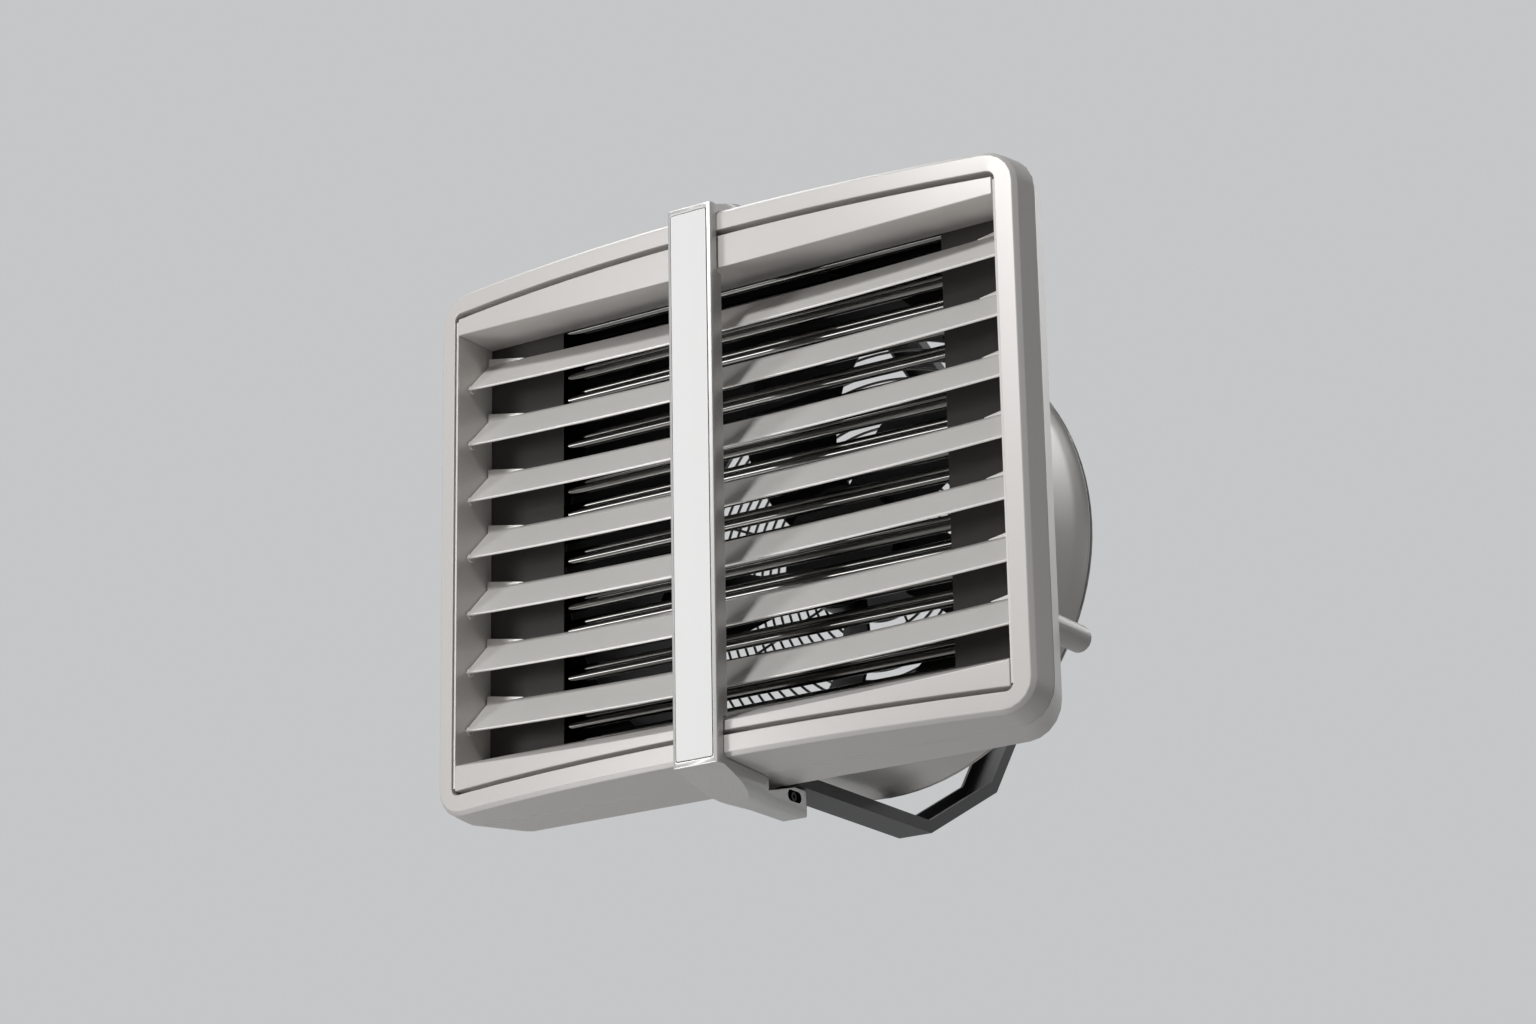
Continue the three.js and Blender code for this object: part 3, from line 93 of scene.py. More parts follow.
class Bench:
    """The modelling steps that the sub-assemblies share."""

    SAME_POINT = 2e-6
    SAME_SPIN_POINT = 1e-6
    SAME_PLANE = math.radians(0.4)
    FACE_WEIGHT = 60
    WIRE_SIDES = 8
    HOOP_STEPS = 96
    LATHE_STEPS = 128

    @staticmethod
    def pick(*objects: bpy.types.Object) -> None:
        """Selects these objects alone and makes the first one active.

        Args:
            *objects: The objects.
        """
        bpy.ops.object.select_all(action="DESELECT")
        for item in objects:
            item.select_set(True)
        bpy.context.view_layer.objects.active = objects[0]

    @staticmethod
    def settle(name: str) -> bpy.types.Object:
        """Names the active object and moves its place and turn into its mesh.

        Args:
            name: The new name.

        Returns:
            The object.
        """
        made = bpy.context.view_layer.objects.active
        made.name = name
        made.data.name = name
        bpy.ops.object.transform_apply(location=True, rotation=True, scale=True)
        return made

    @classmethod
    def block(cls, name: str, low: Vector, high: Vector) -> bpy.types.Object:
        """A box between two corners.

        Args:
            name: The object's name.
            low: The lowest corner, in metres.
            high: The highest corner, in metres.

        Returns:
            The box.
        """
        bpy.ops.object.select_all(action="DESELECT")
        bpy.ops.mesh.primitive_cube_add(size=1, location=(low + high) / 2, scale=high - low)
        return cls.settle(name)

    @classmethod
    def rod(
        cls, name: str, axis: Axis, radius: float, start: Vector, length: float, sides: int
    ) -> bpy.types.Object:
        """A round rod.

        Args:
            name: The object's name.
            axis: The way it runs.
            radius: In millimetres.
            start: The middle of its first end, in metres.
            length: In millimetres.
            sides: Faces round it.

        Returns:
            The rod.
        """
        step = Vector((axis is Axis.X, axis is Axis.Y, 0))
        bpy.ops.object.select_all(action="DESELECT")
        bpy.ops.mesh.primitive_cylinder_add(
            vertices=sides,
            radius=radius * MM,
            depth=length * MM,
            location=start + step * (length * MM / 2),
            rotation=axis.value,
        )
        return cls.settle(name)

    @classmethod
    def hoop(cls, name: str, radius: float, wire: float, y: float) -> bpy.types.Object:
        """A round wire ring about the fan's axis.

        Args:
            name: The object's name.
            radius: To the middle of the wire, in millimetres.
            wire: The wire's radius, in millimetres.
            y: The ring's place behind the heater's face, in millimetres.

        Returns:
            The ring.
        """
        bpy.ops.object.select_all(action="DESELECT")
        bpy.ops.mesh.primitive_torus_add(
            major_radius=radius * MM,
            minor_radius=wire * MM,
            major_segments=cls.HOOP_STEPS,
            minor_segments=cls.WIRE_SIDES,
            location=at(0, y, 0),
            rotation=Axis.Y.value,
        )
        return cls.settle(name)

    @classmethod
    def lathe(cls, name: str, profile: list[tuple[float, float]]) -> bpy.types.Object:
        """Spins a closed profile about the fan's axis.

        Args:
            name: The object's name.
            profile: Radius and place behind the face of each corner, in millimetres, going round.

        Returns:
            The turned solid.
        """
        bpy.ops.object.select_all(action="DESELECT")
        bpy.ops.mesh.primitive_circle_add(vertices=len(profile), fill_type="NOTHING")
        made = cls.settle(name)
        for corner, (radius, y) in zip(made.data.vertices, profile):
            corner.co = at(radius, y, 0)
        bpy.ops.object.mode_set(mode="EDIT")
        bpy.ops.mesh.select_all(action="SELECT")
        bpy.ops.mesh.spin(
            steps=cls.LATHE_STEPS,
            angle=FULL_TURN,
            center=at(0, 0, 0),
            axis=(0, 1, 0),
            use_auto_merge=True,
        )
        bpy.ops.mesh.select_all(action="SELECT")
        bpy.ops.mesh.remove_doubles(threshold=cls.SAME_SPIN_POINT)
        bpy.ops.mesh.normals_make_consistent(inside=False)
        bpy.ops.object.mode_set(mode="OBJECT")
        return made

    @classmethod
    def from_node(cls, name: str, node: bpy.types.Object) -> bpy.types.Object:
        """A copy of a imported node, merged, with its flat faces made whole.

        Args:
            name: The copy's name.
            node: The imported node.

        Returns:
            The copy.
        """
        made = bpy.data.objects.new(name, node.data.copy())
        bpy.context.scene.collection.objects.link(made)
        cls.pick(made)
        made.data.materials.clear()
        bpy.ops.object.mode_set(mode="EDIT")
        bpy.ops.mesh.select_all(action="SELECT")
        bpy.ops.mesh.remove_doubles(threshold=cls.SAME_POINT)
        bpy.ops.mesh.normals_make_consistent(inside=False)
        bpy.ops.mesh.dissolve_limited(angle_limit=cls.SAME_PLANE)
        bpy.ops.object.mode_set(mode="OBJECT")
        return made

    @classmethod
    def use(cls, target: bpy.types.Object, kind: str, **settings: object) -> None:
        """Adds a modifier and applies it at once.

        Args:
            target: The object.
            kind: The modifier's type.
            **settings: The modifier's own settings.
        """
        cls.pick(target)
        modifier = target.modifiers.new(kind.title(), kind)
        for key, value in settings.items():
            setattr(modifier, key, value)
        bpy.ops.object.modifier_apply(modifier=modifier.name)

    @classmethod
    def soften(
        cls, target: bpy.types.Object, width: float, segments: int = 2, angle: float = 28
    ) -> None:
        """Rounds the edges that turn more than an angle and smooths the rest.

        Args:
            target: The object.
            width: The rounding in millimetres.
            segments: Faces across each rounding.
            angle: The least turn of an edge that gets rounded, in degrees.
        """
        cls.use(
            target,
            "BEVEL",
            width=width * MM,
            segments=segments,
            limit_method="ANGLE",
            angle_limit=math.radians(angle),
            use_clamp_overlap=True,
            harden_normals=False,
        )
        cls.smooth(target)

    @classmethod
    def smooth(cls, target: bpy.types.Object, angle: float = 32) -> None:
        """Smooths the shading over all but the sharp edges, and keeps large faces flat.

        Args:
            target: The object.
            angle: The turn in degrees past which an edge stays sharp.
        """
        cls.pick(target)
        bpy.ops.object.shade_smooth_by_angle(angle=math.radians(angle))
        cls.use(target, "WEIGHTED_NORMAL", keep_sharp=True, weight=cls.FACE_WEIGHT)

    @classmethod
    def unite(cls, name: str, parts: list[bpy.types.Object]) -> bpy.types.Object:
        """Makes one object of several.

        Args:
            name: The new object's name.
            parts: The objects, which become one.

        Returns:
            The joined object.
        """
        cls.pick(*parts)
        bpy.ops.object.join()
        return cls.settle(name)

    @classmethod
    def twin(cls, source: bpy.types.Object, name: str, turn: Matrix) -> bpy.types.Object:
        """A copy with its own mesh in another place.

        Args:
            source: The object to copy.
            name: The copy's name.
            turn: Where it goes, as a matrix in metres.

        Returns:
            The copy.
        """
        made = source.copy()
        made.data = source.data.copy()
        bpy.context.scene.collection.objects.link(made)
        made.matrix_world = turn
        cls.pick(made)
        return cls.settle(name)

    @classmethod
    def shift(cls, target: bpy.types.Object, test: Test, move: Vector) -> None:
        """Moves the corners that pass a test.

        Args:
            target: The object.
            test: Says of a corner's place, in metres, whether it moves.
            move: How far, in metres.
        """
        cls.mark(target, test)
        bpy.ops.object.mode_set(mode="EDIT")
        bpy.ops.transform.translate(value=move)
        bpy.ops.object.mode_set(mode="OBJECT")

    @classmethod
    def mark(cls, target: bpy.types.Object, test: Test) -> None:
        """Selects the corners that pass a test, and the edges and faces between them.

        Args:
            target: The object.
            test: Says of a corner's place, in metres, whether it is selected.
        """
        cls.pick(target)
        bpy.ops.object.mode_set(mode="EDIT")
        bpy.ops.mesh.select_mode(type="VERT")
        bpy.ops.mesh.select_all(action="DESELECT")
        shape = bmesh.from_edit_mesh(target.data)
        for corner in shape.verts:
            corner.select = test(corner.co)
        shape.select_flush(True)
        bmesh.update_edit_mesh(target.data)
        bpy.ops.object.mode_set(mode="OBJECT")

    @classmethod
    def slices(cls, target: bpy.types.Object, places: Iterable[float], across: Vector) -> None:
        """Cuts new edge rings through an object.

        Args:
            target: The object.
            places: Where the cuts lie along the direction, in metres.
            across: The direction.
        """
        cls.pick(target)
        bpy.ops.object.mode_set(mode="EDIT")
        for place in places:
            bpy.ops.mesh.select_all(action="SELECT")
            bpy.ops.mesh.bisect(plane_co=across * place, plane_no=across)
        bpy.ops.object.mode_set(mode="OBJECT")

    @classmethod
    def paint(cls, target: bpy.types.Object, material: bpy.types.Material) -> None:
        """Gives the whole object one material."""
        target.data.materials.clear()
        target.data.materials.append(material)

    @classmethod
    def paint_where(
        cls, target: bpy.types.Object, material: bpy.types.Material, test: FaceTest
    ) -> None:
        """Gives the faces that pass a test a further material.

        Args:
            target: The object.
            material: The further material.
            test: Says of a face's middle and normal whether it changes.
        """
        target.data.materials.append(material)
        index = len(target.data.materials) - 1
        for face in target.data.polygons:
            if test(face.center, face.normal):
                face.material_index = index


# ---------------------------------------------------------------- finishes


class Nodes:
    """Shader node groups that several finishes use."""

    MIDDLE_TONE = 0.5
    DUST_FROM = 0.35
    BLOTCH_SCALE = 18

    @staticmethod
    def start(
        name: str, inputs: dict[str, float], outputs: dict[str, str]
    ) -> tuple[bpy.types.NodeTree, bpy.types.Node, bpy.types.Node]:
        """An empty group with its sockets.

        Args:
            name: The group's name.
            inputs: The number inputs and their first values.
            outputs: The outputs and their socket types.

        Returns:
            The group, its input node and its output node.
        """
        group = bpy.data.node_groups.new(name, "ShaderNodeTree")
        for label, value in inputs.items():
            made = group.interface.new_socket(
                name=label, in_out="INPUT", socket_type="NodeSocketFloat"
            )
            made.default_value = value
        for label, kind in outputs.items():
            group.interface.new_socket(name=label, in_out="OUTPUT", socket_type=kind)
        return group, group.nodes.new("NodeGroupInput"), group.nodes.new("NodeGroupOutput")

    @classmethod
    def fine_grain(cls) -> bpy.types.NodeTree:
        """The pebbled skin of a moulding or a powder coat.

        Returns:
            A group with Scale and Unevenness in, and Height and Mask out.
        """
        name = "Fine grain"
        if name in bpy.data.node_groups:
            return bpy.data.node_groups[name]
        group, given, result = cls.start(
            name,
            {"Scale": 900.0, "Unevenness": 0.4},
            {"Height": "NodeSocketFloat", "Mask": "NodeSocketFloat"},
        )
        place = group.nodes.new("ShaderNodeTexCoord")
        pebbles = group.nodes.new("ShaderNodeTexVoronoi")
        pebbles.feature = "SMOOTH_F1"
        cloud = group.nodes.new("ShaderNodeTexNoise")
        cloud.inputs["Detail"].default_value = 4
        blend = group.nodes.new("ShaderNodeMix")
        link = group.links.new
        link(place.outputs["Object"], pebbles.inputs["Vector"])
        link(place.outputs["Object"], cloud.inputs["Vector"])
        link(given.outputs["Scale"], pebbles.inputs["Scale"])
        link(given.outputs["Scale"], cloud.inputs["Scale"])
        link(given.outputs["Unevenness"], blend.inputs["Factor"])
        link(pebbles.outputs["Distance"], blend.inputs["A"])
        link(cloud.outputs["Fac"], blend.inputs["B"])
        link(blend.outputs["Result"], result.inputs["Height"])
        link(cloud.outputs["Fac"], result.inputs["Mask"])
        return group

    @classmethod
    def slow_drift(cls) -> bpy.types.NodeTree:
        """A faint, broad change of tone with a little dust on what faces up.

        Returns:
            A group with Scale, Amount and Dust in, and Tone and Dust out.
        """
        name = "Slow drift"
        if name in bpy.data.node_groups:
            return bpy.data.node_groups[name]
        group, given, result = cls.start(
            name,
            {"Scale": 6.0, "Amount": 0.5, "Dust": 0.1},
            {"Tone": "NodeSocketFloat", "Dust": "NodeSocketFloat"},
        )
        place = group.nodes.new("ShaderNodeTexCoord")
        broad = group.nodes.new("ShaderNodeTexNoise")
        broad.inputs["Detail"].default_value = 6
        broad.inputs["Roughness"].default_value = 0.6
        spread = group.nodes.new("ShaderNodeMath")
        spread.operation = "MULTIPLY_ADD"
        centre = group.nodes.new("ShaderNodeMath")
        centre.operation = "SUBTRACT"
        centre.inputs[1].default_value = cls.MIDDLE_TONE
        facing = group.nodes.new("ShaderNodeNewGeometry")
        split = group.nodes.new("ShaderNodeSeparateXYZ")
        up = group.nodes.new("ShaderNodeMapRange")
        up.inputs["From Min"].default_value = cls.DUST_FROM
        speck = group.nodes.new("ShaderNodeMath")
        speck.operation = "MULTIPLY"
        amount = group.nodes.new("ShaderNodeMath")
        amount.operation = "MULTIPLY"
        link = group.links.new
        link(place.outputs["Object"], broad.inputs["Vector"])
        link(given.outputs["Scale"], broad.inputs["Scale"])
        link(broad.outputs["Fac"], centre.inputs[0])
        link(centre.outputs[0], spread.inputs[0])
        link(given.outputs["Amount"], spread.inputs[1])
        spread.inputs[2].default_value = cls.MIDDLE_TONE
        link(spread.outputs[0], result.inputs["Tone"])
        link(facing.outputs["Normal"], split.inputs[0])
        link(split.outputs["Z"], up.inputs["Value"])
        link(up.outputs["Result"], speck.inputs[0])
        link(broad.outputs["Fac"], speck.inputs[1])
        link(speck.outputs[0], amount.inputs[0])
        link(given.outputs["Dust"], amount.inputs[1])
        link(amount.outputs[0], result.inputs["Dust"])
        return group

    @classmethod
    def drawn_lines(cls) -> bpy.types.NodeTree:
        """The long faint lines that drawing or rolling leaves on metal.

        Returns:
            A group with Scale and Stretch in, and Height and Mask out.
        """
        name = "Drawn lines"
        if name in bpy.data.node_groups:
            return bpy.data.node_groups[name]
        group, given, result = cls.start(
            name,
            {"Scale": 500.0, "Stretch": 0.02},
            {"Height": "NodeSocketFloat", "Mask": "NodeSocketFloat"},
        )
        place = group.nodes.new("ShaderNodeTexCoord")
        ratio = group.nodes.new("ShaderNodeCombineXYZ")
        ratio.inputs["Y"].default_value = 1
        ratio.inputs["Z"].default_value = 1
        stretched = group.nodes.new("ShaderNodeVectorMath")
        stretched.operation = "MULTIPLY"
        lines = group.nodes.new("ShaderNodeTexNoise")
        lines.inputs["Detail"].default_value = 3
        blotch = group.nodes.new("ShaderNodeTexNoise")
        blotch.inputs["Scale"].default_value = cls.BLOTCH_SCALE
        link = group.links.new
        link(given.outputs["Stretch"], ratio.inputs["X"])
        link(place.outputs["Object"], stretched.inputs[0])
        link(ratio.outputs[0], stretched.inputs[1])
        link(stretched.outputs[0], lines.inputs["Vector"])
        link(given.outputs["Scale"], lines.inputs["Scale"])
        link(place.outputs["Object"], blotch.inputs["Vector"])
        link(lines.outputs["Fac"], result.inputs["Height"])
        link(blotch.outputs["Fac"], result.inputs["Mask"])
        return group


DUST = (0.55, 0.53, 0.5)
GRAIN_HEIGHT = 0.0001


@dataclass(frozen=True)
class Finish:
    """A painted, moulded or metal surface with fine grain and a slow change of tone."""

    name: str
    light: tuple[float, float, float]
    dark: tuple[float, float, float]
    roughness: float
    roughness_spread: float = 0.08
    metallic: float = 0.0
    grain: float = 900.0
    unevenness: float = 0.4
    depth: float = 0.02
    drift: float = 0.5
    dust: float = 0.0
    specular: float = 0.5
    drawn: bool = False

    def make(self) -> bpy.types.Material:
        """Builds the material, once.

        Returns:
            The material.
        """
        if self.name in bpy.data.materials:
            return bpy.data.materials[self.name]
        material = bpy.data.materials.new(self.name)
        material.use_nodes = True
        tree = material.node_tree
        shader = tree.nodes["Principled BSDF"]
        shader.inputs["Metallic"].default_value = self.metallic
        shader.inputs["Specular IOR Level"].default_value = self.specular
        link = tree.links.new
        texture = tree.nodes.new("ShaderNodeGroup")
        if self.drawn:
            texture.node_tree = Nodes.drawn_lines()
        else:
            texture.node_tree = Nodes.fine_grain()
            texture.inputs["Unevenness"].default_value = self.unevenness
        texture.inputs["Scale"].default_value = self.grain
        drift = tree.nodes.new("ShaderNodeGroup")
        drift.node_tree = Nodes.slow_drift()
        drift.inputs["Amount"].default_value = self.drift
        drift.inputs["Dust"].default_value = self.dust
        tones = tree.nodes.new("ShaderNodeMix")
        tones.data_type = "RGBA"
        tones.inputs["A"].default_value = (*self.dark, 1)
        tones.inputs["B"].default_value = (*self.light, 1)
        dusty = tree.nodes.new("ShaderNodeMix")
        dusty.data_type = "RGBA"
        dusty.inputs["B"].default_value = (*DUST, 1)
        link(drift.outputs["Tone"], tones.inputs["Factor"])
        link(tones.outputs["Result"], dusty.inputs["A"])
        link(drift.outputs["Dust"], dusty.inputs["Factor"])
        link(dusty.outputs["Result"], shader.inputs["Base Color"])
        shine = tree.nodes.new("ShaderNodeMapRange")
        shine.inputs["To Min"].default_value = self.roughness - self.roughness_spread
        shine.inputs["To Max"].default_value = self.roughness + self.roughness_spread
        link(texture.outputs["Mask"], shine.inputs["Value"])
        link(shine.outputs["Result"], shader.inputs["Roughness"])
        bump = tree.nodes.new("ShaderNodeBump")
        bump.inputs["Distance"].default_value = GRAIN_HEIGHT
        bump.inputs["Strength"].default_value = self.depth
        link(texture.outputs["Height"], bump.inputs["Height"])
        link(bump.outputs["Normal"], shader.inputs["Normal"])
        return material


CASING = Finish(
    "Satin silver paint",
    (0.6, 0.58, 0.56),
    (0.56, 0.54, 0.52),
    0.38,
    metallic=0.15,
    depth=0.12,
    dust=0.02,
)
LOUVER = Finish(
    "Louver paint", (0.78, 0.765, 0.74), (0.74, 0.725, 0.7), 0.32, metallic=0.3, depth=0.08
)
BAND = Finish("Silver band", (0.56, 0.55, 0.54), (0.52, 0.51, 0.5), 0.3, metallic=0.45, depth=0.08)
COVER = Finish("White cover", (0.8, 0.8, 0.795), (0.77, 0.77, 0.765), 0.38, depth=0.06)
MASK = Finish(
    "Dark grey sheet", (0.055, 0.05, 0.047), (0.038, 0.035, 0.033), 0.5, depth=0.2, specular=0.3
)
# Black painted shade: the casing's and duct's inner faces, the lock screw recesses and the cover's
# seat get this colour because they lie in shade, not because those parts are black.
PAINTED_SHADE_BLACK = Finish(
    "Painted shade black", (0.008, 0.008, 0.008), (0.004, 0.004, 0.004), 0.65, depth=0.2, specular=0.15
)
CONSOLE = Finish(
    "Black powder coat",
    (0.011, 0.011, 0.012),
    (0.006, 0.006, 0.007),
    0.42,
    grain=1400,
    unevenness=0.6,
    depth=0.35,
    specular=0.3,
)
# Painted shade: the tubes' colour is kept dark for the dark coil behind the louvers; the real tubes
# are bright metal, and the lamps give their thin lines.
TUBE = Finish(
    "Drawn tube darkened for painted shade",
    (0.18, 0.176, 0.17),
    (0.11, 0.108, 0.104),
    0.1,
    roughness_spread=0.03,
    metallic=1,
    grain=600,
    depth=0.02,
    drawn=True,
)
SHEET = Finish(
    "Rolled sheet",
    (0.06, 0.058, 0.056),
    (0.035, 0.034, 0.033),
    0.4,
    metallic=1,
    grain=700,
    depth=0.1,
    drawn=True,
)
PIPE = Finish(
    "Grey pipe paint", (0.48, 0.47, 0.45), (0.42, 0.41, 0.39), 0.4, metallic=0.2, depth=0.15
)
BLADE = Finish(
    "Black fan plastic", (0.012, 0.012, 0.013), (0.007, 0.007, 0.008), 0.42, depth=0.2, dust=0.03
)
WIRE = Finish(
    "Grey wire coat", (0.5, 0.49, 0.475), (0.44, 0.43, 0.415), 0.36, grain=1600, depth=0.15
)
MOTOR = Finish(
    "Motor paint", (0.025, 0.025, 0.027), (0.015, 0.015, 0.016), 0.4, metallic=0.3, depth=0.5
)
ZINC = Finish(
    "Zinc plate", (0.62, 0.61, 0.6), (0.5, 0.49, 0.47), 0.3, metallic=1, grain=1500, depth=0.2
)
BLACKENED = Finish(
    "Blackened steel", (0.03, 0.03, 0.03), (0.018, 0.018, 0.018), 0.36, metallic=0.9, depth=0.3
)
RUBBER = Finish("Grommet rubber", (0.015, 0.015, 0.015), (0.01, 0.01, 0.01), 0.7, depth=0.4)


# ---------------------------------------------------------------- sub-assemblies


@dataclass
class SubAssembly:
    """What every sub-assembly of the heater shares."""

    nodes: dict[str, bpy.types.Object]
    body: str = "heater"

    def stand(
        self, piece: bpy.types.Object, finish: Finish, slot: str, *stands_for: str, body: str = ""
    ) -> None:
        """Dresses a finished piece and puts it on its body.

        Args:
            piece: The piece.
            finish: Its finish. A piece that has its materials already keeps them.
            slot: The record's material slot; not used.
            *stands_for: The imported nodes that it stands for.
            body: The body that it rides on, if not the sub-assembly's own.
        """
        if not piece.data.materials:
            Bench.paint(piece, finish.make())
        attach(piece, body or self.body)
        if stands_for:
            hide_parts(*stands_for)
        log.info("%s: %d faces", piece.name, len(piece.data.polygons))

    def refined(
        self, node: str, finish: Finish, slot: str, width: float, segments: int = 2, body: str = ""
    ) -> None:
        """Makes a piece that stands for one node, with its edges rounded.

        Args:
            node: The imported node.
            finish: Its finish.
            slot: The record's material slot.
            width: The rounding of its edges, in millimetres.
            segments: Faces across each rounding.
            body: The body that it rides on, if not the sub-assembly's own.
        """
        piece = Bench.from_node(f"{node}_finished", self.nodes[node])
        Bench.soften(piece, width, segments)
        self.stand(piece, finish, slot, node, body=body)


@dataclass
class Casing(SubAssembly):
    """The bowed front frame, the rear casing and the round fan duct."""

    edge: float = 0.9
    screws: int = 4
    inside_from: float = 80.0
    bell_wall: float = 3.0
    bell_base: float = 259.0
    bell_front: float = 128.3
    bell_throat: float = 244.0
    bell_rim: float = 248.3
    bell_back: float = 339.5
    rim_depth: float = 30.0
    neck: tuple[tuple[float, float], ...] = ((0.0, 0.0), (-0.6, 5.0), (-3.0, 10.0), (-6.0, 28.0))
    waist: tuple[tuple[float, float], ...] = ((5.0, 70.0), (1.6, 120.0))
    flare: tuple[tuple[float, float], ...] = ((0.0, 0.0), (0.6, 9.0), (1.8, 18.0))
    under_roll: tuple[float, float] = (-1.6, -5.5)
    lip: float = 1.75
    roll: tuple[int, int, int] = (-40, 180, 20)
    # How far out from the fan's axis the black painted shade reaches inside the duct, in
    # millimetres.
    painted_shade_reach: float = 257.0

    def build(self) -> None:
        """Builds the three shells and the screws that hold them."""
        self.refined("front_frame", CASING, "casing", self.edge, segments=3)
        rear = Bench.from_node("rear_casing_finished", self.nodes["rear_casing"])
        Bench.soften(rear, self.edge, segments=3)
        Bench.paint(rear, CASING.make())
        # Painted shade: the rear casing's inner faces are painted black for the shade inside it.
        Bench.paint_where(rear, PAINTED_SHADE_BLACK.make(), self.takes_painted_shade_inside)
        self.stand(rear, CASING, "casing", "rear_casing")
        self.fan_duct()
        for number in range(1, self.screws + 1):
            self.refined(f"case_screw_{number}", ZINC, "zinc", width=0.4)

    def takes_painted_shade_inside(self, middle: Vector, normal: Vector) -> bool:
        """Says whether a face lies inside the rear casing, where it gets black painted shade.

        Args:
            middle: The face's middle, in metres.
            normal: The face's normal.

        Returns:
            True for the inner walls and the inner side of the rear wall.
        """
        outwards = Vector((middle.x, 0, middle.z)).normalized()
        behind = middle.y > at(0, self.inside_from, 0).y
        return normal.dot(outwards) < LEANS_AWAY or (normal.y < TURNED_AWAY and behind)

    def fan_duct(self) -> None:
        """Spins the duct with its waist and its rolled rim."""
        throat_y = self.bell_back - self.rim_depth
        outside = [
            *((self.bell_base + out, self.bell_front + back) for out, back in self.neck),
            *((self.bell_throat + out, self.bell_front + back) for out, back in self.waist),
            *((self.bell_throat + out, throat_y + back) for out, back in self.flare),
            (self.bell_rim + self.under_roll[0], self.bell_back + self.under_roll[1]),
        ]
        middle_y = self.bell_back - self.lip
        middle_r = self.bell_rim - self.lip
        first, last, step = self.roll
        roll = [
            (middle_r + self.lip * math.cos(turn), middle_y + self.lip * math.sin(turn))
            for turn in (math.radians(degrees) for degrees in range(first, last + 1, step))
        ]
        inside = [(radius - self.bell_wall, y) for radius, y in reversed(outside[:-1])]
        bell = Bench.lathe("fan_bell_finished", outside + roll + inside)
        Bench.smooth(bell, angle=40)
        Bench.paint(bell, CASING.make())
        # Painted shade: the duct's inner wall is painted black for the shade inside it; the duct
        # itself is the casing's grey.
        Bench.paint_where(bell, PAINTED_SHADE_BLACK.make(), self.takes_painted_shade_in_duct)
        self.stand(bell, CASING, "casing", "fan_bell")

    def takes_painted_shade_in_duct(self, middle: Vector, normal: Vector) -> bool:
        """Says whether a face lies on the inside of the duct, where it gets black painted shade.

        Args:
            middle: The face's middle, in metres.
            normal: The face's normal.

        Returns:
            True for the duct's inner wall.
        """
        inwards = normal.dot(Vector((middle.x, 0, middle.z)).normalized()) < TURNED_AWAY
        return inwards and math.hypot(middle.x, middle.z) < self.painted_shade_reach * MM


